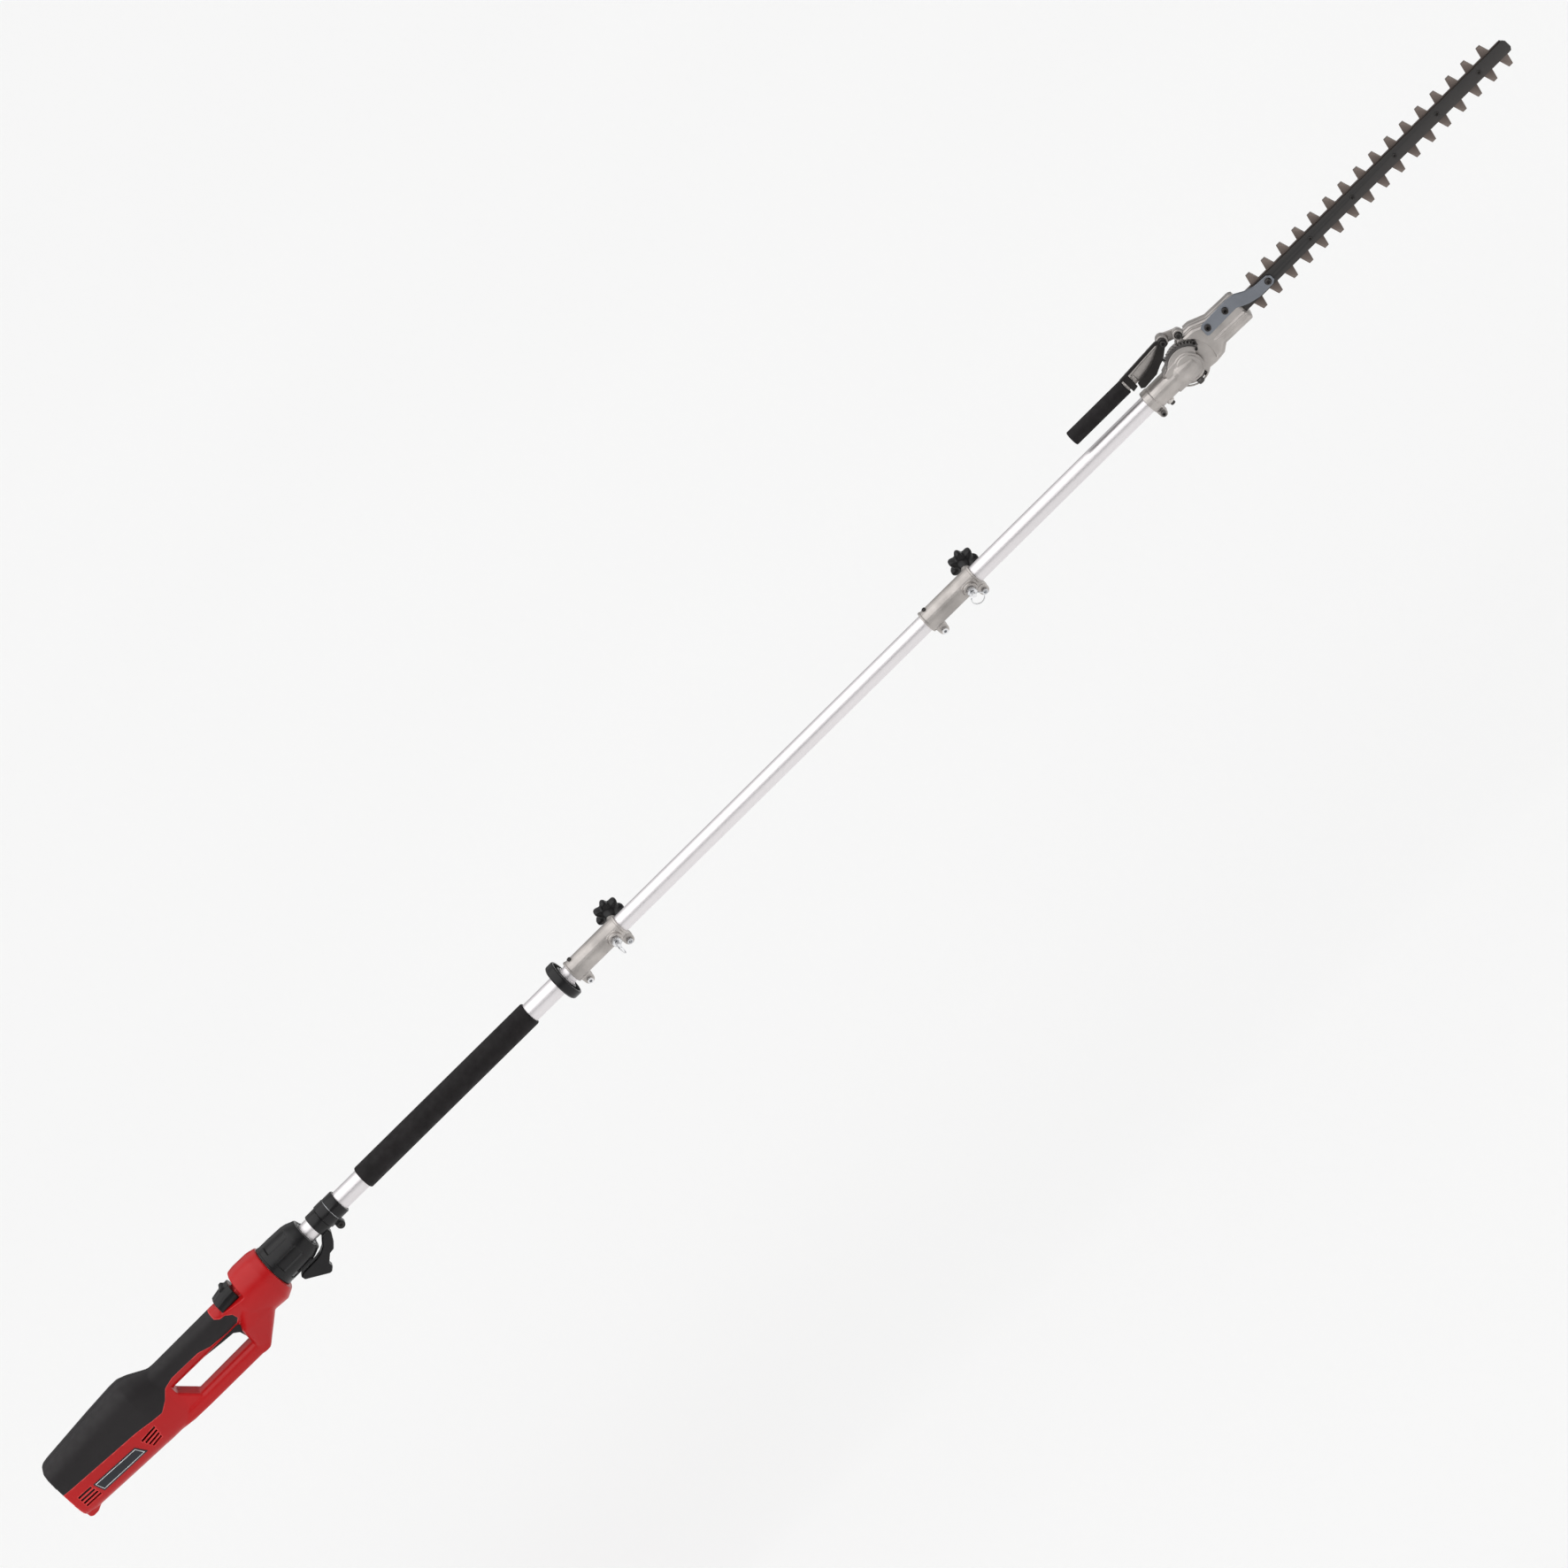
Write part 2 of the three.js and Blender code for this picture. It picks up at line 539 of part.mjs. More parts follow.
function addHandleFittings() {
  const bore = HANDLE_TUBE_RADIUS + GAP;
  const ring = COLLAR_RING_REAR;
  const collar = turnedX([
    [ring + 17.6, bore], [ring + 17.6, 18], [ring + 18.6, 18.6], [ring + 33, 18.6], [ring + 33, 17.2],
    [ring + 34.2, 17.2], [ring + 34.2, 18], [ring + 49, 18], [ring + 50, 17.4], [ring + 50, bore],
  ]);
  const ear = cut(
    join(rodY(6.4, -5, 5, ring + 28, -23.5), box(ring + 22, ring + 33, -5, 5, -22, -16.5)),
    rodY(2.6, -10, 10, ring + 28, -23.5, 12),
  );
  add(root, "hanger_collar", join(collar, ear), BLACK);

  const band = turnedX([
    [ring, bore], [ring, 16.6], [ring + 1, 17.2], [ring + 16, 17.2], [ring + 17, 16.6], [ring + 17, bore],
  ]);
  const foot = plate([
    [515, -15.6], [515.4, -22], [508.5, -33], [501, -40.5], [493, -41.5], [482, -51], [482.5, -57],
    [477, -61.5], [473, -61.5], [443, -43], [442, -37], [446, -34.4], [474, -33.6], [484, -31.6],
    [492, -27.5], [499, -19.5], [503, -15.6],
  ], -9, 9, 1.5);
  add(root, "rest_foot", join(band, foot), BLACK);

  const foam = turnedX([
    [FOAM_REAR, bore], [FOAM_REAR, 16.8], [FOAM_REAR + 1.5, 17.8], [FOAM_FRONT - 1.5, 17.8],
    [FOAM_FRONT, 16.8], [FOAM_FRONT, bore],
  ]);
  add(root, "foam_grip", foam, FOAM);

  const stop = STOP_RING_REAR;
  const front = stop + STOP_RING_WIDTH;
  const ringBody = turnedX([
    [stop, bore], [stop, 26], [stop + 2, 28.4], [stop + 4, 29], [front - 1.5, 29], [front, 28],
    [front, 25.5], [front - 7, 24], [front - 7, 19], [front, 18], [front, bore],
  ], 24);
  add(root, "hand_stop_ring", ringBody, BLACK);
}
addTubes();
addShafts();
addHandleFittings();

// ---------- Couplers ----------
// Each coupler is drawn with its knob along +Y and its pin along -Y, then rolled.
function couplerBody() {
  const rim = COUPLER_RADIUS + 1;
  const end = COUPLER_LENGTH;
  const sleeve = turnedX([
    [0, TUBE_RADIUS + GAP], [0, rim], [2.6, rim], [3.4, COUPLER_RADIUS],
    [end - 3.4, COUPLER_RADIUS], [end - 2.6, rim], [end, rim], [end, TUBE_RADIUS + GAP],
  ]);
  const bore = rodX(TUBE_RADIUS + GAP, -1, end + 1);
  const lug = (x) => join(rodY(7.4, -7, 7, x, -25, 14), box(x - 7.4, x + 7.4, -7, 7, -25, -10));
  const pinBossProfile = [[-14, ON_AXIS], [-14, 11], [-18.5, 11], [-20, 9.5], [-20, ON_AXIS]];
  const pinBoss = turnedY(pinBossProfile, PIN_FROM_REAR, 0, 18);
  const knobBoss = rodY(7.5, 14, 24, KNOB_FROM_REAR - 1.6, 0, 14);
  return cut(
    join(sleeve, lug(9.5), lug(end - 8), pinBoss, knobBoss),
    bore,
    box(-1, 20, -1, 1, -40, -10),
    box(end - 20, end + 1, -1, 1, -40, -10),
    rodY(2.7, -20, 20, 9.5, -25, 10),
    rodY(2.7, -20, 20, end - 8, -25, 10),
    rodY(5.2, -30, 0, PIN_FROM_REAR, 0, 14),
    rodY(3.5, 0, 30, KNOB_FROM_REAR, 0, 10),
  );
}

function starKnob() {
  const lobes = 7;
  const shape = new THREE.Shape();
  const steps = lobes * 4;
  for (let i = 0; i < steps; i += 1) {
    const angle = (i / steps) * 2 * Math.PI;
    const radius = KNOB_RADIUS - 2.9 + 2.9 * Math.cos(lobes * angle);
    const [px, pz] = [KNOB_FROM_REAR + radius * Math.cos(angle), radius * Math.sin(angle)];
    if (i === 0) shape.moveTo(px, pz);
    else shape.lineTo(px, pz);
  }
  const head = plateOf(shape, KNOB_REACH - 15, KNOB_REACH, 1.6);
  const hub = turnedY([[24.5, ON_AXIS], [24.5, 9], [31, 13], [31, ON_AXIS]], KNOB_FROM_REAR, 0, 20);
  return join(head, hub, rodY(3, TUBE_RADIUS + 0.6, 40, KNOB_FROM_REAR, 0, 12));
}

function lockPin() {
  const tip = rodY(2.2, -16, -10, PIN_FROM_REAR, 0, 12);
  const stem = rodY(1.8, -PIN_REACH + 6, -12, PIN_FROM_REAR, 0, 12);
  return join(tip, stem, rodY(3.2, -PIN_REACH, -PIN_REACH + 7, PIN_FROM_REAR, 0, 12));
}

// The ring threads the eye of the pin. It stands edge-on to the side or faces it.
const RING_RADIUS = 9.4;
const RING_WIRE = 0.9;
const EYE_DEPTH = PIN_REACH - 3.4;

function pullRing(faceOn) {
  const g = new THREE.TorusGeometry(RING_RADIUS, RING_WIRE, 5, 20);
  if (faceOn) return solid(g.rotateX(Math.PI / 2).translate(PIN_FROM_REAR, -EYE_DEPTH, -RING_RADIUS));
  return solid(g.rotateY(Math.PI / 2).translate(PIN_FROM_REAR, -EYE_DEPTH - RING_RADIUS, 0));
}

function addCoupler(n) {
  const group = new THREE.Group();
  group.position.x = COUPLER_REAR[n];
  group.rotation.x = COUPLER_ROLL;
  root.add(group);
  const name = (part) => `coupler_${n + 1}_${part}`;
  add(group, name("body"), couplerBody(), CAST);
  add(group, name("knob"), starKnob(), BLACK);
  const screw = join(
    rodY(4.4, -11.3, -7.3, 9.5, -25),
    rodY(2.3, -8, 11, 9.5, -25, 12),
    hexagon(4.2, 7.3, 10.6, 9.5, -25),
  );
  add(group, name("clamp_screw"), cut(screw, hexagon(2.2, -12, -9, 9.5, -25)), STEEL);
  const sleeve = turnedY([
    [-14.5, 3.9], [-14.5, 4.9], [-20.3, 4.9], [-20.3, 6.6], [-26, 6.6], [-26, 2.2], [-25, 2.2], [-25, 3.9],
  ], PIN_FROM_REAR, 0, 14);
  const nut = hexagon(7.4, -25.8, -20.3, PIN_FROM_REAR, 0);
  const bush = join(sleeve, cut(nut, rodY(4.7, -BIG, BIG, PIN_FROM_REAR, 0, 14)));
  add(group, name("pin_bush"), bush, STEEL);
  const eyeAlongX = rodX(1.7, PIN_FROM_REAR - 10, PIN_FROM_REAR + 10, -EYE_DEPTH, 0, 12);
  const eyeAlongZ = rodZ(1.7, -10, 10, PIN_FROM_REAR, -EYE_DEPTH, 12);
  const faceOn = n === 1;
  add(group, name("lock_pin"), cut(lockPin(), faceOn ? eyeAlongX : eyeAlongZ), STEEL);
  add(group, name("pull_ring"), pullRing(faceOn), STEEL);
  const coil = new THREE.Group();
  coil.position.set(PIN_FROM_REAR, -24.4, 0);
  group.add(coil);
  add(coil, name("pin_spring"), spring(3, 0.4, 8, 5), STEEL);
}
COUPLER_REAR.forEach((_, n) => addCoupler(n));

// ---------- Head: fixed side ----------
function polar(radius, degrees) {
  const angle = THREE.MathUtils.degToRad(degrees);
  return [PIVOT_X + radius * Math.cos(angle), radius * Math.sin(angle)];
}

function arcPoints(radius, from, to, count) {
  return Array.from({ length: count + 1 }, (_, i) => polar(radius, from + ((to - from) * i) / count));
}

const CHEEK_RIGHT = -16;
const CHEEK_LEFT = -7.6;
const BOSS_RADIUS = 21.5;
const DRUM_RADIUS = 29.6;

function pivotHousing() {
  const sleeve = turnedX([
    [SLEEVE_REAR, ON_AXIS], [SLEEVE_REAR, 17.6], [SLEEVE_REAR + 1, 18.2], [SLEEVE_REAR + 12, 18.2],
    [SLEEVE_REAR + 12, 16.8], [SLEEVE_REAR + 13.4, 16.8], [SLEEVE_REAR + 13.4, 17.4], [2172, 17.4],
    [2172, ON_AXIS],
  ]);
  const cheek = turnedY([
    [CHEEK_RIGHT, ON_AXIS], [CHEEK_RIGHT, 17], [CHEEK_RIGHT + 1.2, 17.8], [CHEEK_RIGHT + 1.2, 18.8],
    [CHEEK_RIGHT + 0.2, 19.6], [CHEEK_RIGHT + 1.4, BOSS_RADIUS], [CHEEK_LEFT, BOSS_RADIUS],
    [CHEEK_LEFT, ON_AXIS],
  ], PIVOT_X, 0, 28);
  const carrier = plate([...arcPoints(CHEEK_RADIUS, 22, 185, 20), polar(15, 185), polar(15, 22)],
    CHEEK_RIGHT + 1.8, CHEEK_LEFT, 1);
  const nose = loft([[2158, 16.6], [2167, 20.4], [2193, 17.9], [2195, 16.2]].map(([x, radius]) =>
    roundedRing(x, -radius, radius, radius, 2, 28)));
  const shoulder = plate([
    [2150, -16.6], [2150, 17], [2159, 20], [2176, 21], [2176, -18], [2159, -17],
  ], -15, 15, 2);
  const swing = rodY(DRUM_RADIUS + 0.9, CHEEK_LEFT + 0.001, BIG, PIVOT_X, 0, 36);
  const pastPivot = box(PIVOT_X - 12, BIG + PIVOT_X, CHEEK_LEFT + 0.001, BIG, -BIG, BIG);
  const sectorRoom = cut(
    rodY(SECTOR_TIP + 0.5, SECTOR_RIGHT - GAP, SECTOR_LEFT + GAP, PIVOT_X, 0, 36),
    rodY(CHEEK_RADIUS, -BIG, BIG, PIVOT_X, 0, 28),
    box(PIVOT_X - 60, PIVOT_X + 60, -BIG, BIG, -BIG, 12),
  );
  const lug = join(
    rodY(6, -8, 8, SLEEVE_REAR + 6, -22.5),
    box(SLEEVE_REAR, SLEEVE_REAR + 12, -8, 8, -22, -12),
  );
  return cut(
    join(sleeve, shoulder, lug, cut(nose, box(2100, 2200, CHEEK_RIGHT + 1, BIG, -BIG, BIG)), cheek, carrier),
    swing,
    sectorRoom,
    pastPivot,
    rodX(TUBE_RADIUS + GAP, SLEEVE_REAR - 1, SLEEVE_REAR + 24),
    rodX(11.6, SLEEVE_REAR + 20, 2170),
    rodY(SHAFT_RADIUS + GAP, CHEEK_RIGHT + 2, BIG, PIVOT_X, 0, 20),
    rodY(2.7, -20, 20, SLEEVE_REAR + 6, -22.5, 12),
    box(SLEEVE_REAR - 1, SLEEVE_REAR + 12.4, -1, 1, -40, -10),
  );
}

function ratchetSector() {
  const [from, to] = [SECTOR_FROM, SECTOR_TO];
  const teeth = Math.round((to - from - 6) / SECTOR_PITCH);
  const rim = [];
  for (let i = 0; i < teeth; i += 1) {
    const start = from + 3 + i * SECTOR_PITCH;
    rim.push(polar(SECTOR_ROOT, start + 0.4), polar(SECTOR_TIP, start + 2.2));
    rim.push(polar(SECTOR_TIP, start + 3.4), polar(SECTOR_ROOT, start + 5.2));
  }
  const inner = arcPoints(CHEEK_RADIUS + GAP, to, from, 16);
  const outline = [polar(SECTOR_ROOT, from), ...rim, polar(SECTOR_ROOT, to), ...inner];
  return plate(outline, SECTOR_RIGHT, SECTOR_LEFT);
}

function addFixedHead() {
  add(root, "pivot_housing", pivotHousing(), CAST);
  const [screwX, screwZ] = [SLEEVE_REAR + 6, -22.5];
  const screw = join(
    rodY(4, -12.4, -8.3, screwX, screwZ),
    rodY(2.3, -9, 12, screwX, screwZ, 12),
    hexagon(4.2, 8.3, 11.6, screwX, screwZ),
  );
  add(root, "head_clamp_screw", cut(screw, hexagon(2.1, -13, -10.4, screwX, screwZ)), DARK_STEEL);
  add(root, "ratchet_sector", ratchetSector(), DARK_STEEL);
  const bolt = join(
    rodY(SHAFT_RADIUS, CHEEK_RIGHT + 2 + GAP, 26, PIVOT_X, 0, 20),
    hexagon(7, CASE_LEFT + 2 + GAP, 27, PIVOT_X, 0),
  );
  add(root, "pivot_bolt", bolt, DARK_STEEL);
  const pinion = join(
    loft([toothedRing("x", 0, 2159, 10.6, 1.8, 12), toothedRing("x", 0, 2167.4, 7.2, 1.2, 12)]),
    rodX(SHAFT_RADIUS, 2151, 2161, 0, 0, 12),
  );
  add(root, "bevel_pinion", pinion, STEEL);
}
addFixedHead();

// ---------- Head: tilting side ----------
const CASE_OUTLINE = [
  [2196, -22.5], [2213, -24.4], [2230, -22.5], [2241, -14.5], [2290, -15.5], [CASE_FRONT, -13],
  [CASE_FRONT, 26], [2288, 28.5], [2245, 29.5], [2234, 34], [2222, 39], [2205, 39.5], [2194, 36], [2189, 30],
];
const RAISED_OUTLINE = [
  [2200, -17], [2213, -19], [2227, -18], [2239, -9.5], [2243, -10], [CASE_FRONT - 1, -10.5],
  [CASE_FRONT - 1, 24], [2244, 25.5], [2232, 30], [2221, 34.5], [2205, 35], [2198, 30],
];
const SPUR_RIGHT = 11;
const SPUR_LEFT = 15;

function caseForm() {
  const main = plate(CASE_OUTLINE, CHEEK_LEFT + 0.4, CASE_LEFT, 2);
  const front = plate(RAISED_OUTLINE, CASE_RIGHT, 0, 3);
  const sweep = rodY(SECTOR_TIP + 3, -BIG, CHEEK_LEFT + 0.4, PIVOT_X, 0, 36);
  const drum = rodY(DRUM_RADIUS, CHEEK_LEFT + 0.4, CASE_LEFT, PIVOT_X, 0, 36);
  const outerBoss = rodY(11, CASE_LEFT - 1, CASE_LEFT + 2, PIVOT_X, 0);
  const ribOutline = [[2232, 3], [2246, -2], [2290, -3], [2290, 3], [2246, 4]];
  const rib = plate(ribOutline, CASE_RIGHT - 2, CASE_RIGHT + 4, 1.2);
  const lug = rodY(8, -6.4, 8, 2203, 40.5, 20);
  return join(main, cut(front, sweep), drum, outerBoss, cut(rib, sweep), lug);
}

// The room that a part of the pole, within reach of its axis, needs while the head tilts down.
function tiltRoom(radius, reach, y0, y1) {
  const [x, far] = [PIVOT_X, radius + 1];
  return rodY(radius, y0, y1, x, 0, 36).intersect(join(
    box(x - far, x, y0, y1, -reach, reach),
    box(x - far, x, y0, y1, -far, 0),
    box(x - reach, x + reach, y0, y1, -far, 0),
  ));
}

function bladeRoom() {
  const slide = THROW + 1.4;
  return join(
    rodY(22.8, -3.4, CASE_SPLIT + 0.5, CRANK_X - slide, BLADE_Z, 24),
    rodY(22.8, -3.4, CASE_SPLIT + 0.5, CRANK_X + slide, BLADE_Z, 24),
    box(CRANK_X - slide, CRANK_X + slide, -3.4, CASE_SPLIT + 0.5, BLADE_Z - 22.8, BLADE_Z + 22.8),
    box(CRANK_X, CASE_FRONT + 5, -3.2, CASE_SPLIT + 0.5, BLADE_Z - 11.2, BLADE_Z + 11.2),
    box(2261, CASE_FRONT + 5, -6.6, CASE_SPLIT + 0.5, BLADE_Z - 9.6, BLADE_Z + 9.6),
  );
}

function addCase() {
  const form = caseForm();
  const rooms = [
    bladeRoom(),
    rodY(24.4, CASE_SPLIT - 1, 17, CRANK_X, BLADE_Z, 24),
    rodY(17, -3, 17, PIVOT_X, 0, 28),
    tiltRoom(27, 11.4, -20, 11.2),
    tiltRoom(40, 5.2, -5.2, 5.2),
    box(PIVOT_X, CRANK_X, SPUR_RIGHT - 1, 17, -12, 16),
    rodY(SHAFT_RADIUS + GAP, -BIG, BIG, PIVOT_X, 0, 20),
    rodY(SHAFT_RADIUS + GAP, -6, BIG, CRANK_X, BLADE_Z, 20),
    box(2170, 2212, 8, BIG, 32.5, 60),
  ];
  const rightBlock = box(2100, 2400, -BIG, CASE_SPLIT - GAP / 2, -BIG, BIG);
  const leftBlock = box(2100, 2400, CASE_SPLIT + GAP / 2, BIG, -BIG, BIG);
  const hollow = cut(form, ...rooms);
  add(root, "gear_case_right", hollow.intersect(rightBlock), CAST);
  add(root, "gear_case_left", hollow.intersect(leftBlock), CAST);
}

function addGears() {
  const bore = rodY(SHAFT_RADIUS + GAP, -BIG, BIG, PIVOT_X, 0, 20);
  const idler = join(
    loft([toothedRing("y", PIVOT_X, 6.2, 15, 2, 14), toothedRing("y", PIVOT_X, 8.6, 16.4, 2, 14)]),
    rodY(8, 6.4, SPUR_RIGHT + 0.5, PIVOT_X, 0, 20),
    gear(14, 15.4, 13.2, SPUR_RIGHT, SPUR_LEFT, PIVOT_X, 0),
  );
  add(root, "idler_gear", cut(idler, bore), STEEL);
  const crank = join(
    gear(20, 23.6, 21.4, SPUR_RIGHT, SPUR_LEFT, CRANK_X, BLADE_Z),
    rodY(SHAFT_RADIUS, -5.6, CASE_LEFT - 1, CRANK_X, BLADE_Z, 20),
    rodY(CAM_RADIUS, -2.7, 0.1, CRANK_X, BLADE_Z + THROW, 20),
    rodY(CAM_RADIUS, 0, 3, CRANK_X, BLADE_Z - THROW, 20),
  );
  add(root, "crank_gear", crank, STEEL);
}

// Blade outline with its teeth. Upper teeth point to +Z, lower teeth to -Z.
function bladeOutline() {
  const edge = BLADE_HALF_WIDTH;
  const tooth = (x, side) => [
    [x - 7.4, side * edge], [x - 3.5, side * TOOTH_REACH],
    [x + 3.5, side * TOOTH_REACH], [x + 7.4, side * edge],
  ];
  const points = [];
  for (let i = 0; i < LOWER_TEETH; i += 1) points.push(...tooth(FIRST_LOWER_TOOTH + i * TOOTH_PITCH, -1));
  const tip = BAR_FRONT - 2;
  points.push([tip - 4, -edge], [tip, -edge + 6], [tip, edge - 6], [tip - 4, edge]);
  for (let i = UPPER_TEETH - 1; i >= 0; i -= 1) {
    points.push(...tooth(FIRST_UPPER_TOOTH + i * TOOTH_PITCH, 1).reverse());
  }
  points.push([2244, edge], [2244, -edge]);
  return points.map(([x, z]) => [x, z + BLADE_Z]);
}

// A slot that lets a blade slide past a bar screw.
function screwSlot(x) {
  const [half, end] = [THROW + 1.4, THROW + 3.2];
  const side = 2.9;
  return plate([[-half, -side], [half, -side], [end, 0], [half, side], [-half, side], [-end, 0]]
    .map(([dx, dz]) => [x + dx, BLADE_Z + dz]), -5, 5);
}

function blade(y0, y1) {
  const oval = (radius, from, to) => join(
    rodY(radius, from, to, CRANK_X - THROW, BLADE_Z, 24),
    rodY(radius, from, to, CRANK_X + THROW, BLADE_Z, 24),
    box(CRANK_X - THROW, CRANK_X + THROW, from, to, BLADE_Z - radius * 0.99, BLADE_Z + radius * 0.99),
  );
  const window = oval(THROW + CAM_RADIUS + 0.7, -BIG, BIG);
  const slots = Array.from({ length: BAR_SCREWS }, (_, i) =>
    screwSlot(FIRST_BAR_SCREW + i * BAR_SCREW_PITCH));
  return cut(join(plate(bladeOutline(), y0, y1), oval(THROW + CAM_RADIUS + 4, y0, y1)), window, ...slots);
}

function addBlades() {
  const bar = plate([
    [2262, -BAR_HALF_WIDTH], [BAR_FRONT - 3, -BAR_HALF_WIDTH], [BAR_FRONT, -BAR_HALF_WIDTH + 4],
    [BAR_FRONT, BAR_HALF_WIDTH - 4], [BAR_FRONT - 3, BAR_HALF_WIDTH], [2262, BAR_HALF_WIDTH],
  ].map(([x, z]) => [x, z + BLADE_Z]), -6.3, -3);
  add(root, "guide_bar", cut(bar, rodY(2.6, -BIG, BIG, FIRST_BAR_SCREW, BLADE_Z, 12)), DARK_STEEL);
  add(root, "cutting_blade_right", blade(-2.7, -0.3), TOOTH_STEEL);
  add(root, "cutting_blade_left", blade(0, 2.4), TOOTH_STEEL);
}

// A formed steel arm: flat on the case, stepped inwards in front of it, then flat on the bar.
function addArm() {
  const onCase = CASE_RIGHT - GAP - 3;
  const onBar = -6.6 - 3;
  const strip = slab([
    [2225, onCase], [2294, onCase], [2319, onBar], [2360, onBar], [2360, onBar + 3],
    [2318, onBar + 3], [2293, onCase + 3], [2225, onCase + 3],
  ], -40, 60);
  const outline = plate([
    [2231, 15], [2234, 13], [2286, 14], [2302, 5], [2318, -0.5], [2343, -0.5], [2348.5, 3], [2348.5, 11],
    [2344, 14.6], [2322, 16], [2308, 22], [2296, 30.5], [2282, 32.5], [2236, 31], [2232, 28],
  ], -BIG, BIG);
  const boltHole = rodY(2.6, -BIG, BIG, FIRST_BAR_SCREW, BLADE_Z, 12);
  add(root, "blade_arm", cut(strip.intersect(outline), boltHole), STEEL);
  const bolt = join(
    hexagon(4.8, -13.6, -9.9, FIRST_BAR_SCREW, BLADE_Z),
    rodY(2.2, -10, 5.5, FIRST_BAR_SCREW, BLADE_Z, 12),
    rodY(4.6, 2.8, 5.4, FIRST_BAR_SCREW, BLADE_Z, 16),
  );
  add(root, "arm_bolt", bolt, DARK_STEEL);
}

// ---------- Tilt lever and its latch ----------
function addLever() {
  const casting = plate([
    [2119, 48], [2119, 33], [2130, 31.5], [2152, 39], [2160, 39], [2168, 38.5], [2178, 40.5],
    [2189, 43.5], [2189, 55], [2178, 57], [2170, 52], [2140, 50.4],
  ], -6, 8, 1.5);
  const link = join(rodY(7, 8.4, 12, 2203, 40.5, 20), rodY(8.5, -6, 12, BOSS_X, BOSS_Z, 20),
    plate([[2181, 41], [2203, 33.6], [2203, 47.4], [2181, 57.5]], 8.4, 12));
  const stalk = rodX(8, LEVER_REAR + 3.4, 2122, 0, LEVER_Z, 20);
  const bore = rodY(3.3, -BIG, BIG, BOSS_X, BOSS_Z, 16);
  add(root, "adjust_lever", cut(join(casting, link, stalk), bore), CAST);
  const sleeve = turnedX([
    [LEVER_REAR, ON_AXIS], [LEVER_REAR, 10.4], [LEVER_REAR + 1.2, 11.2], [2103, 11.2], [2103, 8.3],
    [LEVER_REAR + 3, 8.3], [LEVER_REAR + 3, ON_AXIS],
  ], 20);
  add(root, "lever_sleeve", sleeve.translate([0, 0, LEVER_Z]), FOAM);
}

function addLatch() {
  const middle = (SECTOR_RIGHT + SECTOR_LEFT) / 2;
  const notch = SECTOR_FROM + 3 + 11.88 * SECTOR_PITCH; // middle of the notch that holds the pawl
  const tooth = plate([
    polar(SECTOR_ROOT + 0.6, notch - 0.5), polar(SECTOR_TIP + 0.6, notch - 1.9), [2180, 43.5], [2187, 49.5],
    [2184, 55.5], [2176, 53], [2163, 46], [2150, 40], [2132, 36.5], [2119, 34], [2117, 26], [2122, 22.6],
    [2146, 24.5], [2158, 30.5], polar(SECTOR_TIP + 0.6, notch + 1.9),
    polar(SECTOR_ROOT + 0.6, notch + 0.5),
  ], middle - 2.2, middle + 2.2);
  const hub = rodY(6.2, middle - 3, -6.6, BOSS_X, BOSS_Z, 20);
  const bar = plate([
    [2104, 50.6], [2172, 54.2], [2182, 50], [2184, 54], [2174, 58.4], [2104, 54.4],
  ], -13, -7);
  const tab = plate([[2107, 29.5], [2116, 31], [2117, 52.5], [2107, 52.5]], -13.4, -8.8, 1);
  const pin = rodY(2.9, -7, 12, BOSS_X, BOSS_Z, 14);
  add(root, "latch_pawl", join(tooth, hub, bar, tab, pin), DARK_STEEL);
  const group = new THREE.Group();
  group.position.set(BOSS_X, 12.8, BOSS_Z);
  root.add(group);
  add(group, "latch_spring", spring(5, 0.6, 6, 4), STEEL);
}
addCase();
addGears();
addBlades();
addArm();
addLever();
addLatch();

// The origin is the middle of the underside of the whole tool.
root.updateMatrixWorld(true);
const extent = new THREE.Box3().setFromObject(root);
const centre = extent.getCenter(new THREE.Vector3());
root.position.set(-centre.x, -centre.y, -extent.min.z);

export default root;
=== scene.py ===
"""Looks of the pole hedge trimmer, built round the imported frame.

Lengths in the design tables are millimetres. X counts from the rear end, Y from the middle and Z
from the pole axis, as on a drawing of the tool; place() turns them into the frame's metres. The
right side, which the camera sees, is -Y.
"""
import json
import math

import bmesh
import bpy
from mathutils import Matrix, Vector


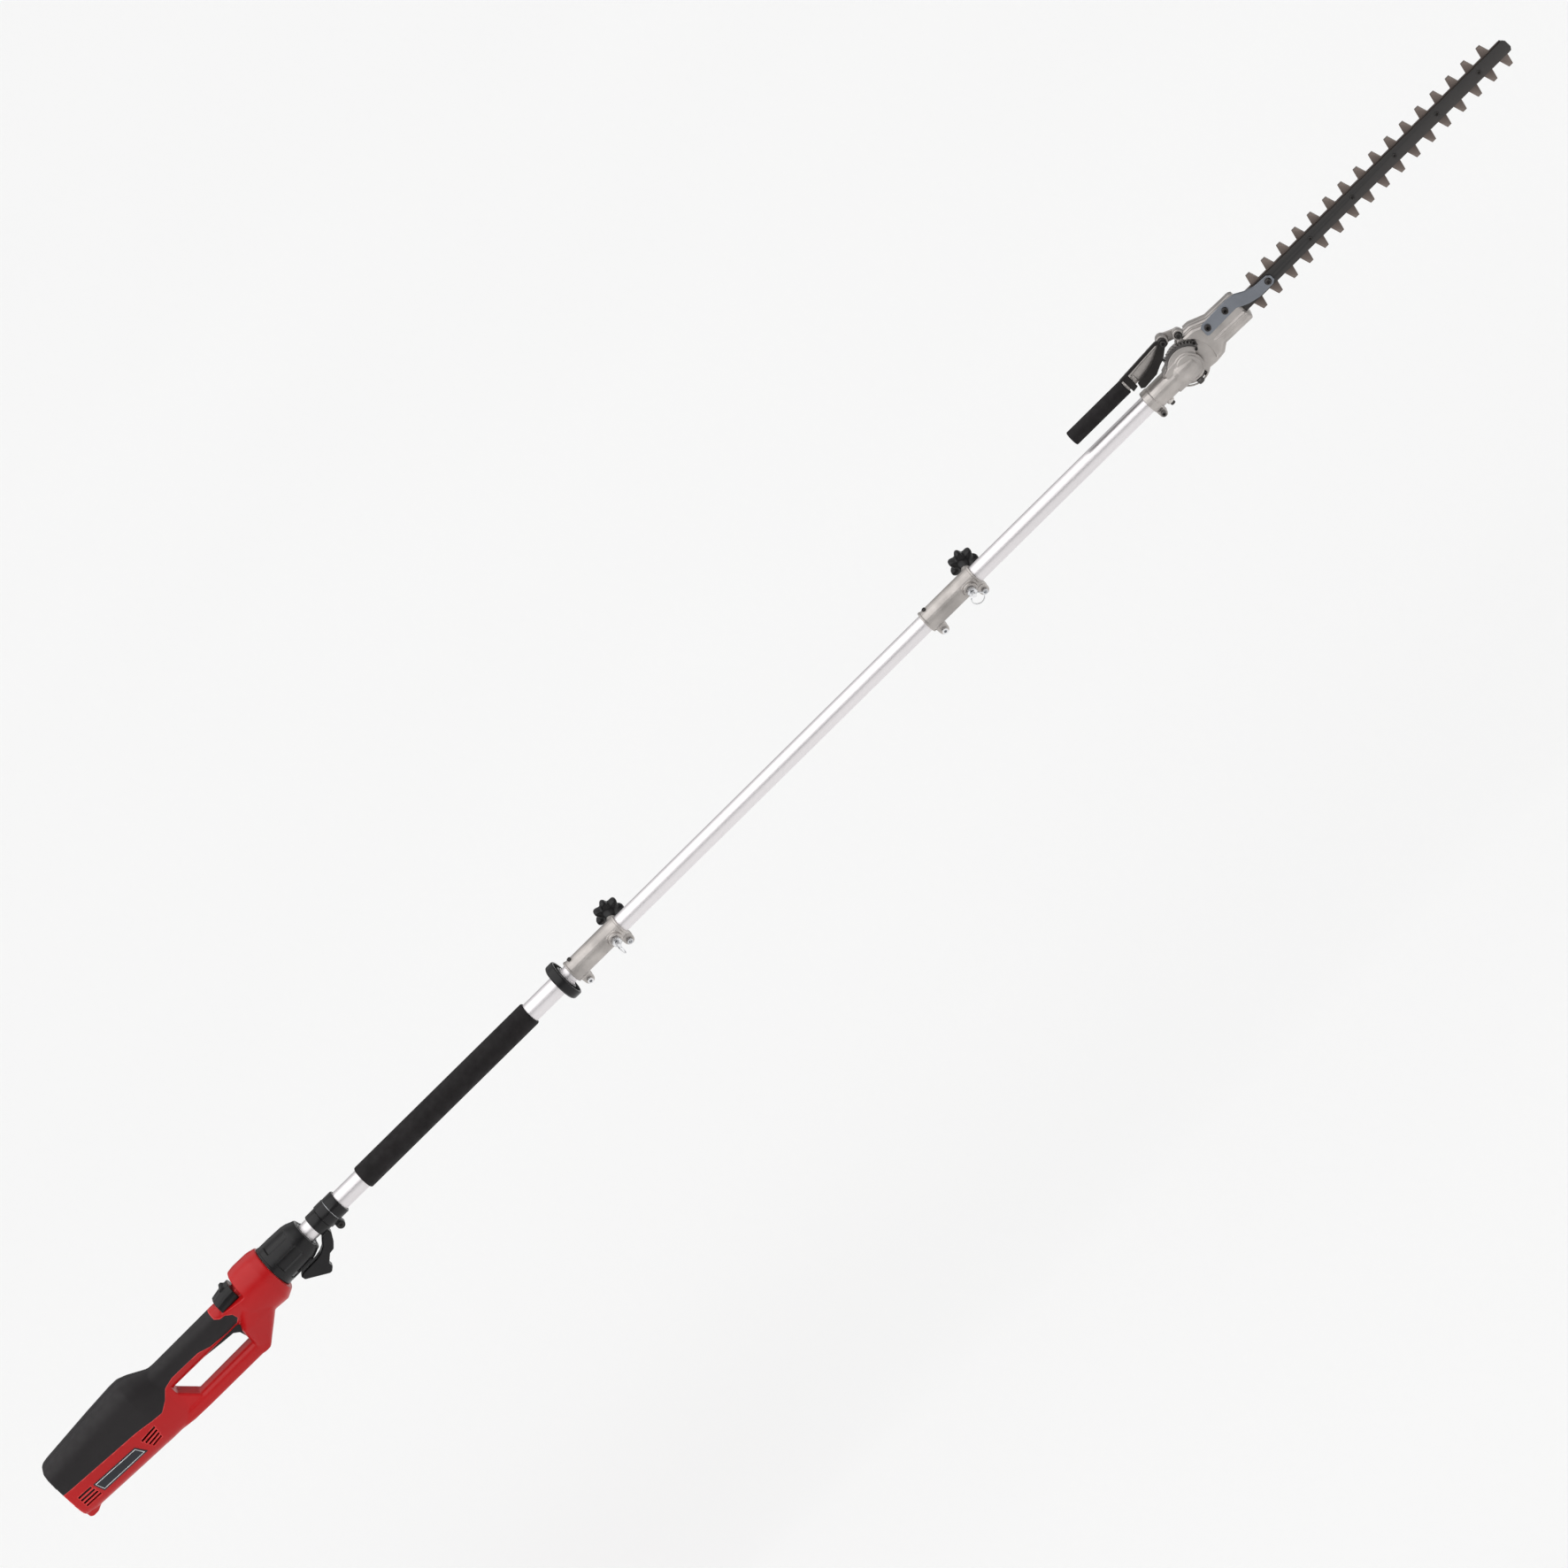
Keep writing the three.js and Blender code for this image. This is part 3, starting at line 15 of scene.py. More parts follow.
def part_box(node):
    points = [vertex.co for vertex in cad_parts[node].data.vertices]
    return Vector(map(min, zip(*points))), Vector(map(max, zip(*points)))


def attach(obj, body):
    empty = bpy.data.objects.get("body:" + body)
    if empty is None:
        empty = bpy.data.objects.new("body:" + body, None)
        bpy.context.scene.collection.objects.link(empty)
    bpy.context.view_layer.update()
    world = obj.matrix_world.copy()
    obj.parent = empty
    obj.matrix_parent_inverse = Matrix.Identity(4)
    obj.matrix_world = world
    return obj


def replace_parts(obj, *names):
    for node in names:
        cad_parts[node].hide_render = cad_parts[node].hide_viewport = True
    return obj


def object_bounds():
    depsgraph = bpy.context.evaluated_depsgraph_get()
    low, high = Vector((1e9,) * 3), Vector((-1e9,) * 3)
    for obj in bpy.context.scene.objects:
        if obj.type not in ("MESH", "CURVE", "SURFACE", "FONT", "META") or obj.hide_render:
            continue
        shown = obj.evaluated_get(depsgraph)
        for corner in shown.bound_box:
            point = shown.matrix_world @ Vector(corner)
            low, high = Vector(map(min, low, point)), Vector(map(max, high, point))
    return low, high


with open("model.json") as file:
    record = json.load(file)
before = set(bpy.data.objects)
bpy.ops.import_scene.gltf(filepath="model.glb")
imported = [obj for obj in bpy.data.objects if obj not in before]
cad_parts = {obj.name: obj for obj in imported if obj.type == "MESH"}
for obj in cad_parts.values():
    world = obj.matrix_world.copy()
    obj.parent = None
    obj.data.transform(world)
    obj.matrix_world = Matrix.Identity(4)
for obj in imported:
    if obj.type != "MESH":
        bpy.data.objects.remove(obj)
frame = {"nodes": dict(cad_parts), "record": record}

MM = 0.001
cad_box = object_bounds()
tube_low, tube_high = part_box("extension_tube")
ORIGIN = Vector((cad_box[0].x, (tube_low.y + tube_high.y) / 2, (tube_low.z + tube_high.z) / 2))
nodes = frame["nodes"]


def place(x, y, z):
    return ORIGIN + Vector((x, y, z)) * MM


# ---------- Camera and light ----------
AZIMUTH, ELEVATION = math.radians(9), math.radians(16)
POLE_SLOPE = math.radians(44.58)
PICTURE_WIDTH = 2.119  # metres across the picture at the tool
MOVE_RIGHT, MOVE_DOWN = 0.0088, 0.0203  # metres from the tool's middle to the picture's
DISTANCE = 30
SENSOR = 36
FAR_CLIP = 200
WORLD_STRENGTH = 0.72
GROUND_COLOUR, ZENITH_COLOUR = (0.30, 0.30, 0.31, 1), (1, 1, 1, 1)
SKY_LEVELS = [(0.10, 0.16), (0.28, 0.30), (0.50, 0.95)]  # brightness by height above the horizon
SKY_BLUE = 1.01
KEY_DIRECTION = (0.35, 0.45, -1)
KEY_STRENGTH = 1.5
KEY_SPREAD = math.radians(90)


def add_camera():
    data = bpy.data.cameras.new("camera")
    camera = bpy.data.objects.new("camera", data)
    bpy.context.scene.collection.objects.link(camera)
    bpy.context.scene.camera = camera
    data.sensor_width = SENSOR
    data.lens = SENSOR * DISTANCE / PICTURE_WIDTH
    data.clip_end = FAR_CLIP
    sin_a, cos_a = math.sin(AZIMUTH), math.cos(AZIMUTH)
    sin_e, cos_e = math.sin(ELEVATION), math.cos(ELEVATION)
    back = Vector((sin_a * cos_e, -cos_a * cos_e, sin_e))
    up = Vector((-sin_a * sin_e, cos_a * sin_e, cos_e))
    right = up.cross(back)
    slope_unrolled = math.atan2(up.x, right.x)  # of the pole, before the camera rolls
    turn = Matrix.Rotation(slope_unrolled - POLE_SLOPE, 3, back)
    right, up = turn @ right, turn @ up
    middle = (cad_box[0] + cad_box[1]) / 2
    middle.z = ORIGIN.z
    target = middle + right * MOVE_RIGHT - up * MOVE_DOWN
    pose = Matrix((right, up, back)).transposed().to_4x4()
    pose.translation = target + back * DISTANCE
    camera.matrix_world = pose


def add_world():
    """Bright overhead and darker towards the camera, so that round metal shows its shape."""
    world = bpy.data.worlds.new("studio")
    world.use_nodes = True
    tree = world.node_tree
    direction = tree.nodes.new("ShaderNodeTexCoord").outputs["Generated"]
    split = tree.nodes.new("ShaderNodeSeparateXYZ")
    tree.links.new(direction, split.inputs["Vector"])
    ramp = tree.nodes.new("ShaderNodeValToRGB")
    stops = ramp.color_ramp.elements
    stops[0].position, stops[0].color = 0.0, GROUND_COLOUR
    stops[1].position, stops[1].color = 1.0, ZENITH_COLOUR
    for position, level in SKY_LEVELS:
        stops.new(position).color = (level, level, level * SKY_BLUE, 1)
    tree.links.new(split.outputs["Z"], ramp.inputs["Fac"])
    background = tree.nodes["Background"]
    tree.links.new(ramp.outputs["Color"], background.inputs["Color"])
    background.inputs["Strength"].default_value = WORLD_STRENGTH
    bpy.context.scene.world = world


def add_key_light():
    """A wide sun, which lights the whole floor evenly and leaves a soft shadow."""
    data = bpy.data.lights.new("key", "SUN")
    data.energy = KEY_STRENGTH
    data.angle = KEY_SPREAD
    light = bpy.data.objects.new("key", data)
    bpy.context.scene.collection.objects.link(light)
    light.rotation_euler = Vector(KEY_DIRECTION).to_track_quat("-Z", "Y").to_euler()


# ---------- Materials ----------
GLOSS_SPREAD = 0.14  # of the roughness, up and down
GLOSS_GRAIN = 90
EDGE_WEAR_AND_HIGHLIGHT_WIDTH = 0.08  # of the pointiness, from none to full edge colour, which is partly wear and partly a painted highlight


class Surface:
    """A procedural material: colour variation, grain, lighter edges for wear and a painted
    highlight, and uneven gloss.
    """

    def __init__(self, name, colour, roughness, metallic=0.0):
        self.material = bpy.data.materials.new(name)
        self.material.use_nodes = True
        self.tree = self.material.node_tree
        self.shader = self.tree.nodes["Principled BSDF"]
        self.shader.inputs["Metallic"].default_value = metallic
        self.coordinates = self.tree.nodes.new("ShaderNodeTexCoord").outputs["Object"]
        self.colour = colour
        self.roughness = roughness
        self.normal = None  # of the last bump

    def link(self, output, target):
        self.tree.links.new(output, target)

    def stretched(self, scale):
        mapping = self.tree.nodes.new("ShaderNodeMapping")
        mapping.inputs["Scale"].default_value = scale
        self.link(self.coordinates, mapping.inputs["Vector"])
        return mapping.outputs["Vector"]

    def noise(self, scale, detail, vector=None):
        node = self.tree.nodes.new("ShaderNodeTexNoise")
        node.inputs["Scale"].default_value = scale
        node.inputs["Detail"].default_value = detail
        self.link(vector or self.coordinates, node.inputs["Vector"])
        return node.outputs["Fac"]

    def cells(self, scale):
        node = self.tree.nodes.new("ShaderNodeTexVoronoi")
        node.inputs["Scale"].default_value = scale
        self.link(self.coordinates, node.inputs["Vector"])
        return node.outputs["Distance"]

    def ranged(self, value, low, high, from_low=0.3, from_high=0.7):
        node = self.tree.nodes.new("ShaderNodeMapRange")
        node.inputs["From Min"].default_value = from_low
        node.inputs["From Max"].default_value = from_high
        node.inputs["To Min"].default_value = low
        node.inputs["To Max"].default_value = high
        self.link(value, node.inputs["Value"])
        return node.outputs["Result"]

    def mixed(self, factor, first, second):
        node = self.tree.nodes.new("ShaderNodeMix")
        node.data_type = "RGBA"
        self.link(factor, node.inputs["Factor"])
        for name, value in (("A", first), ("B", second)):
            target = next(i for i in node.inputs if i.name == name and i.type == "RGBA")
            if isinstance(value, tuple):
                target.default_value = (*value, 1)
            else:
                self.link(value, target)
        return next(output for output in node.outputs if output.type == "RGBA")

    def bump(self, height, strength, distance):
        node = self.tree.nodes.new("ShaderNodeBump")
        node.inputs["Strength"].default_value = strength
        node.inputs["Distance"].default_value = distance
        self.link(height, node.inputs["Height"])
        if self.normal is not None:
            self.link(self.normal, node.inputs["Normal"])
        self.normal = node.outputs["Normal"]
        self.link(self.normal, self.shader.inputs["Normal"])

    def finish(self, shade, patch, edge_wear_and_highlight=None, edge_wear_and_highlight_from=0.53, gloss=None):
        """Darker patches, lighter edges that are partly wear and partly a painted highlight, and
        gloss that varies round the roughness.
        """
        darker = tuple(channel * shade for channel in self.colour)
        blend = self.ranged(self.noise(patch, 5), 0, 1)
        base = self.mixed(blend, self.colour, darker)
        # Convex edges get a lighter colour: partly wear, partly a painted highlight.
        if edge_wear_and_highlight:
            pointiness = self.tree.nodes.new("ShaderNodeNewGeometry").outputs["Pointiness"]
            edge = self.ranged(pointiness, 0, 1, edge_wear_and_highlight_from, edge_wear_and_highlight_from + EDGE_WEAR_AND_HIGHLIGHT_WIDTH)
            base = self.mixed(edge, base, edge_wear_and_highlight)
        self.link(base, self.shader.inputs["Base Color"])
        spread = self.roughness * GLOSS_SPREAD
        gloss = gloss or self.noise(GLOSS_GRAIN, 4)
        uneven = self.ranged(gloss, self.roughness - spread, self.roughness + spread)
        self.link(uneven, self.shader.inputs["Roughness"])
        return self.material


# The lighter edge colours given to finish() stand partly for wear and partly for a painted
# highlight on convex edges.
def red_plastic():
    surface = Surface("red_plastic", (0.52, 0.004, 0.006), 0.34)
    surface.bump(surface.noise(1500, 2), 0.10, 0.0002)
    surface.bump(surface.noise(120, 2), 0.05, 0.0006)
    surface.shader.inputs["Specular IOR Level"].default_value = 0.34
    return surface.finish(shade=0.86, patch=9, edge_wear_and_highlight=(0.72, 0.05, 0.05), edge_wear_and_highlight_from=0.54)


def black_plastic():
    surface = Surface("black_plastic", (0.0075, 0.007, 0.0078), 0.30)
    surface.bump(surface.noise(1800, 3), 0.22, 0.0002)
    surface.shader.inputs["Specular IOR Level"].default_value = 0.32
    return surface.finish(shade=0.7, patch=30, edge_wear_and_highlight=(0.03, 0.03, 0.031), edge_wear_and_highlight_from=0.55)


def soft_rubber():
    surface = Surface("soft_rubber", (0.019, 0.0165, 0.0175), 0.52)
    surface.bump(surface.cells(1400), 0.30, 0.0002)
    surface.bump(surface.noise(60, 2), 0.08, 0.001)
    surface.shader.inputs["Specular IOR Level"].default_value = 0.28
    return surface.finish(shade=0.72, patch=11, edge_wear_and_highlight=(0.04, 0.037, 0.039), edge_wear_and_highlight_from=0.55)


def closed_cell_foam():
    surface = Surface("closed_cell_foam", (0.0095, 0.0075, 0.008), 0.72)
    surface.bump(surface.cells(520), 0.35, 0.0004)
    surface.bump(surface.noise(1600, 4), 0.35, 0.0002)
    surface.shader.inputs["Specular IOR Level"].default_value = 0.3
    return surface.finish(shade=0.6, patch=40)


def drawn_aluminium():
    surface = Surface("drawn_aluminium", (0.83, 0.80, 0.81), 0.42, 1.0)
    streaks = surface.noise(1.0, 4, surface.stretched((6, 900, 900)))
    surface.bump(streaks, 0.10, 0.0002)
    return surface.finish(shade=0.92, patch=3, gloss=streaks)


def cast_aluminium():
    surface = Surface("cast_aluminium", (0.56, 0.525, 0.50), 0.46, 1.0)
    surface.bump(surface.noise(900, 5), 0.34, 0.0005)
    surface.bump(surface.cells(1500), 0.14, 0.0002)
    return surface.finish(shade=0.66, patch=26, edge_wear_and_highlight=(0.80, 0.77, 0.74), edge_wear_and_highlight_from=0.52)


def plated_steel():
    surface = Surface("plated_steel", (0.62, 0.63, 0.65), 0.28, 1.0)
    surface.bump(surface.noise(700, 4), 0.10, 0.0002)
    return surface.finish(shade=0.7, patch=45, edge_wear_and_highlight=(0.85, 0.85, 0.86), edge_wear_and_highlight_from=0.54)


def arm_steel():
    surface = Surface("arm_steel", (0.24, 0.255, 0.285), 0.34, 1.0)
    brushed = surface.noise(1.0, 4, surface.stretched((25, 700, 700)))
    surface.bump(brushed, 0.14, 0.0002)
    return surface.finish(shade=0.78, patch=18, edge_wear_and_highlight=(0.5, 0.52, 0.55), gloss=brushed)


def black_oxide():
    surface = Surface("black_oxide", (0.020, 0.017, 0.016), 0.38, 0.55)
    surface.bump(surface.noise(1100, 4), 0.18, 0.0002)
    return surface.finish(shade=0.5, patch=60, edge_wear_and_highlight=(0.16, 0.15, 0.145), edge_wear_and_highlight_from=0.54)


def bar_paint():
    surface = Surface("bar_paint", (0.0045, 0.0042, 0.0045), 0.34)
    surface.bump(surface.noise(420, 4), 0.12, 0.0003)
    return surface.finish(shade=0.6, patch=50, edge_wear_and_highlight=(0.055, 0.048, 0.045), edge_wear_and_highlight_from=0.56)


def tooth_steel():
    surface = Surface("tooth_steel", (0.062, 0.045, 0.040), 0.40, 0.8)
    ground = surface.noise(1.0, 4, surface.stretched((900, 500, 40)))
    surface.bump(ground, 0.22, 0.0002)
    return surface.finish(shade=0.5, patch=34, edge_wear_and_highlight=(0.22, 0.18, 0.16), gloss=ground)


def circuit_board():
    surface = Surface("circuit_board", (0.03, 0.16, 0.06), 0.45)
    surface.bump(surface.cells(260), 0.3, 0.0004)
    return surface.finish(shade=0.45, patch=160)


def winding_copper():
    surface = Surface("winding_copper", (0.55, 0.24, 0.11), 0.35, 1.0)
    surface.bump(surface.noise(1.0, 2, surface.stretched((700, 40, 40))), 0.5, 0.0006)
    return surface.finish(shade=0.55, patch=50)


def badge_film():
    surface = Surface("badge_film", (0.006, 0.009, 0.016), 0.22)
    surface.bump(surface.noise(300, 2), 0.03, 0.0003)
    return surface.finish(shade=0.7, patch=24)


SLOT_LOOKS = {
    "red_shell": red_plastic(),
    "black_shell": black_plastic(),
    "soft_grip": soft_rubber(),
    "foam": closed_cell_foam(),
    "tube_aluminium": drawn_aluminium(),
    "cast_aluminium": cast_aluminium(),
    "bright_steel": plated_steel(),
    "dark_steel": black_oxide(),
    "blade_steel": tooth_steel(),
    "board": circuit_board(),
    "copper": winding_copper(),
    "badge": badge_film(),
}
NODE_LOOKS = {"blade_arm": arm_steel(), "guide_bar": bar_paint()}
SLOT_OF_NODE = {row["node"]: row["material_slot"] for row in frame["record"]["subparts"]}


# ---------- Finish of the CAD nodes ----------
# Voxel size in mm and passes of smoothing.
CAST_NODES = {
    "pivot_housing": (0.55, 14), "gear_case_right": (0.55, 12), "gear_case_left": (0.6, 12),
    "adjust_lever": (0.5, 10), "coupler_1_body": (0.5, 8), "coupler_2_body": (0.5, 8),
    "rest_foot": (0.6, 8), "latch_pawl": (0.5, 6), "trigger": (0.5, 8), "lock_button": (0.5, 10),
    "blade_arm": (0.4, 12),
}
SHARP_NODES = (
    "switch_body", "control_board", "ratchet_sector", "bevel_pinion", "idler_gear", "crank_gear",
)
SHARP_EDGE, BLADE_EDGE, COMMON_EDGE = 0.15, 0.7, 0.45
SMOOTHING = 0.5


def smooth(mesh):
    mesh.polygons.foreach_set("use_smooth", [True] * len(mesh.polygons))
    mesh.update()


def add_bevel(piece, width, segments=2, angle=32):
    bevel = piece.modifiers.new("rounded_edges", "BEVEL")
    bevel.width = width * MM
    bevel.segments = segments
    bevel.limit_method = "ANGLE"
    bevel.angle_limit = math.radians(angle)
    bevel.harden_normals = True


def add_remesh(piece, name, voxel):
    remesh = piece.modifiers.new(name, "REMESH")
    remesh.mode = "VOXEL"
    remesh.voxel_size = voxel * MM
    return remesh


def add_smoothing(piece, passes):
    relax = piece.modifiers.new("fillets", "SMOOTH")
    relax.factor = SMOOTHING
    relax.iterations = passes


def round_like_a_casting(piece, voxel, passes):
    add_remesh(piece, "even_skin", voxel).use_smooth_shade = True
    add_smoothing(piece, passes)


def dress_nodes():
    for name, piece in nodes.items():
        piece.data.materials.clear()
        piece.data.materials.append(NODE_LOOKS.get(name, SLOT_LOOKS[SLOT_OF_NODE[name]]))
        smooth(piece.data)
        if name in CAST_NODES:
            round_like_a_casting(piece, *CAST_NODES[name])
        elif name in SHARP_NODES:
            add_bevel(piece, SHARP_EDGE, 1)
        elif name.startswith("cutting_blade"):
            add_bevel(piece, BLADE_EDGE)
        else:
            add_bevel(piece, COMMON_EDGE)


# ---------- Building pieces ----------
SCREW_POINTS = 24
SCREW_FOOT = 0.4  # how far a screw head reaches into what it sits on


def piece_from(builder, name, body, slot):
    """A piece of the built mesh that rides on the body. The builder is freed."""
    mesh = bpy.data.meshes.new(name)
    builder.normal_update()
    builder.to_mesh(mesh)
    builder.free()
    smooth(mesh)
    mesh.materials.append(SLOT_LOOKS[slot])
    piece = bpy.data.objects.new(name, mesh)
    bpy.context.scene.collection.objects.link(piece)
    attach(piece, body)
    return piece


def skin(builder, rings, close_first=True, close_last=True):
    """Faces between rings of points, and over the two ends."""
    rows = [[builder.verts.new(point) for point in ring] for ring in rings]
    count = len(rows[0])
    for row, after in zip(rows, rows[1:]):
        for i in range(count):
            j = (i + 1) % count
            builder.faces.new((row[i], row[j], after[j], after[i]))
    if close_first:
        builder.faces.new(list(reversed(rows[0])))
    if close_last:
        builder.faces.new(rows[-1])
    bmesh.ops.recalc_face_normals(builder, faces=builder.faces)


def pose_along(origin, axis):
    """A matrix whose +Z points along the axis, from the origin."""
    turn = axis.normalized().to_track_quat("Z", "Y").to_matrix().to_4x4()
    turn.translation = origin
    return turn


def circle(radius, height, count=SCREW_POINTS, lobes=0, depth=0.0):
    """A ring of points, with lobes if they have a depth."""
    points = []
    for i in range(count):
        angle = 2 * math.pi * i / count
        reach = radius - depth + depth * math.cos(lobes * angle)
        points.append(Vector((reach * math.cos(angle), reach * math.sin(angle), height)) * MM)
    return points


def hexagon(radius, height):
    """A hexagon with as many points as the circles that it is skinned to."""
    points = []
    for i in range(SCREW_POINTS):
        angle = 2 * math.pi * i / SCREW_POINTS
        sector = (angle % (math.pi / 3)) - math.pi / 6
        reach = radius * math.cos(math.pi / 6) / math.cos(sector)
        points.append(Vector((reach * math.cos(angle), reach * math.sin(angle), height)) * MM)
    return points


def socket_screw(name, body, at, axis, radius, height, slot="dark_steel"):
    """A round head with a hexagon socket."""
    builder = bmesh.new()
    rounding = radius * 0.16
    socket = radius * 0.52
    skin(builder, [
        circle(radius, -SCREW_FOOT), circle(radius, height - rounding),
        circle(radius - rounding * 0.4, height - rounding * 0.3),
        circle(radius - rounding, height), hexagon(socket + 0.25, height),
        hexagon(socket, height - 0.3), hexagon(socket, height * 0.35),
    ])
    builder.transform(pose_along(at, axis))
    return piece_from(builder, name, body, slot)


def hex_bolt(name, body, at, axis, radius, height, slot="dark_steel"):
    """A hexagon head on a round flange."""
    builder = bmesh.new()
    flange = radius * 1.12
    skin(builder, [
        circle(flange, -SCREW_FOOT), circle(flange, 0.7), circle(flange - 0.3, 1.0),
        hexagon(radius, 1.1), hexagon(radius, height - 0.6), circle(radius * 0.86, height),
        circle(radius * 0.5, height - 0.1), circle(radius * 0.42, height - 0.5),
    ])
    builder.transform(pose_along(at, axis))
    return piece_from(builder, name, body, slot)


# ---------- Housing skin ----------
BAR_BOTTOM = -74  # the flat underside
LOOP_FRONT = 331
HOUSING_FRONT = 424
MOUTH_RADIUS = 32.5
MOUTH_LIP = 1.5  # length of the edge round the motor mouth
SNAP_REACH = 0.7
SKIN_THICKNESS = 2.2
SKIN_EDGE = 0.5
RING_POINTS = 96
UNION_VOXEL, SKIN_VOXEL, SKIN_SMOOTHING = 1.2, 1.1, 9
# Rows of x, bottom, top, half width and squareness.
REAR_BODY = [
    (0, -58, 23, 33, 4), (5, -61.5, 26, 35, 4), (14, -63.5, 27.5, 36, 4),
    (100, -67.5, 35, 37.5, 3.6), (146, -69.5, 38.3, 37.5, 3.4), (160, -70.5, 38.3, 37, 3.3),
    (174, -71.5, 34, 32.5, 3.1), (200, -73.2, 21.9, 20.4, 2.8), (209, -75, 19.4, 17.4, 2.8),
]
GRIP = [
    (180, -21.5, 22, 21, 2.6), (212, -21.5, 20, 18, 2.5), (260, -22, 20.4, 18, 2.4),
    (332, -21.5, 20.5, 19.5, 2.6), (356, -24, 28, 27, 2.6),
]
LOWER_BAR = [
    (140, -68, -55, 14, 3), (200, -75, -51, 18.5, 3), (230, -76, -51, 18.5, 3),
    (338, -76, -50, 19.5, 3),
]
MOTOR_COLLAR = [
    (336, -24, 23, 22, 2.4), (350, -30, 29, 30, 2.3), (364, -39, 35.5, 37.5, 2.3),
    (384, -43, 38.5, 39.5, 2.3), (410, -45, 38, 39.5, 2.3), (HOUSING_FRONT, -38, 35, 36, 2.2),
]
# Rows of z, rear, front and half width.
STRUT = [
    (-75, 330, 346, 18.5), (-66, 331, 356, 20), (-47, 331, 380, 27), (-30, 333, 400, 33.5),
    (-12, 345, 408, 36.5), (2, 352, 408, 36.5),
]
REAR_WEB = [(196, -28), (209, -28), (231, -52), (231, -62), (196, -62)]
WEB_HALF_WIDTH = 17
REAR_FOOT = [(2, -56), (2.5, -65), (7, -68), (17, -67.5), (30, -61), (30, -56)]
FOOT_HALF_WIDTH = 22
POCKET_REAR, POCKET_FRONT, POCKET_SIDE, POCKET_BOTTOM, POCKET_TOP = 330, 373, 17.4, 8, 60
POCKET_BED = 19  # height of the flat that the lock button stands on
OPEN_REAR = 1.2  # the shell is open from its rear end to here, for the battery
SLOT_REAR, SLOT_FRONT, SLOT_HALF_WIDTH, SLOT_BOTTOM, SLOT_TOP = 258, LOOP_FRONT + 8, 7.5, -48, -12
SIDE_FROM = 20  # distance from the middle beyond which a face belongs to the side
LOUVRE_COUNT, LOUVRE_TOP, LOUVRE_STEP = 4, -29, 5.4
SOFT_PANEL = [
    (-2, -13), (134, -21), (152, -23.5), (178, -28.5), (192, -21), (203, -10.8), (220, -6.8),
    (270, -7.6), (288, -14), (318, -17.5), (337, -16), (345, -9), (343, -1), (334, 4), (325, 5),
    (319, 10), (317, 60), (-2, 60),
]
BADGE = [(41, -31), (118, -34.5), (127, -51), (46, -48.5)]
BADGE_RISE, BORDER_RISE = 0.6, 0.7
BORDER_OUTER = [(43.4, -32.9), (116.8, -36.3), (123.4, -49.1), (47.6, -46.7)]
BORDER_INNER = [(44.4, -33.8), (116.2, -37.1), (121.8, -48.2), (48.3, -45.8)]
SEAM_HALF = 0.45


def bent(value, power):
    return math.copysign(abs(value) ** power, value)


def section_ring(x, bottom, top, half_width, squareness):
    ring = []
    for i in range(RING_POINTS):
        angle = 2 * math.pi * (i + 0.5) / RING_POINTS
        y = half_width * bent(math.cos(angle), 2 / squareness)
        z = (bottom + top) / 2 + (top - bottom) / 2 * bent(math.sin(angle), 2 / squareness)
        ring.append(place(x, y, max(z, BAR_BOTTOM)))
    return ring


def strut_ring(z, rear, front, half_width):
    ring = []
    for i in range(RING_POINTS):
        angle = 2 * math.pi * (i + 0.5) / RING_POINTS
        x = (rear + front) / 2 + (front - rear) / 2 * bent(math.cos(angle), 0.5)
        ring.append(place(x, half_width * bent(math.sin(angle), 0.5), max(z, BAR_BOTTOM)))
    return ring


def slab_rings(outline, half_width):
    return [[place(x, y, z) for x, z in outline] for y in (-half_width, half_width)]


def box_rings(x0, x1, y0, y1, z0, z1):
    corners = [(y0, z0), (y1, z0), (y1, z1), (y0, z1)]
    return [[place(x, y, z) for y, z in corners] for x in (x0, x1)]


def closed_object(name, ring_sets):
    builder = bmesh.new()
    for rings in ring_sets:
        skin(builder, rings)
    mesh = bpy.data.meshes.new(name)
    builder.to_mesh(mesh)
    builder.free()
    scratch = bpy.data.objects.new(name, mesh)
    bpy.context.scene.collection.objects.link(scratch)
    return scratch


def evaluated_builder(scratch):
    """A bmesh of the object with its modifiers applied. The object is removed."""
    evaluated = scratch.evaluated_get(bpy.context.evaluated_depsgraph_get())
    builder = bmesh.new()
    builder.from_mesh(evaluated.to_mesh())
    evaluated.to_mesh_clear()
    bpy.data.objects.remove(scratch)
    return builder


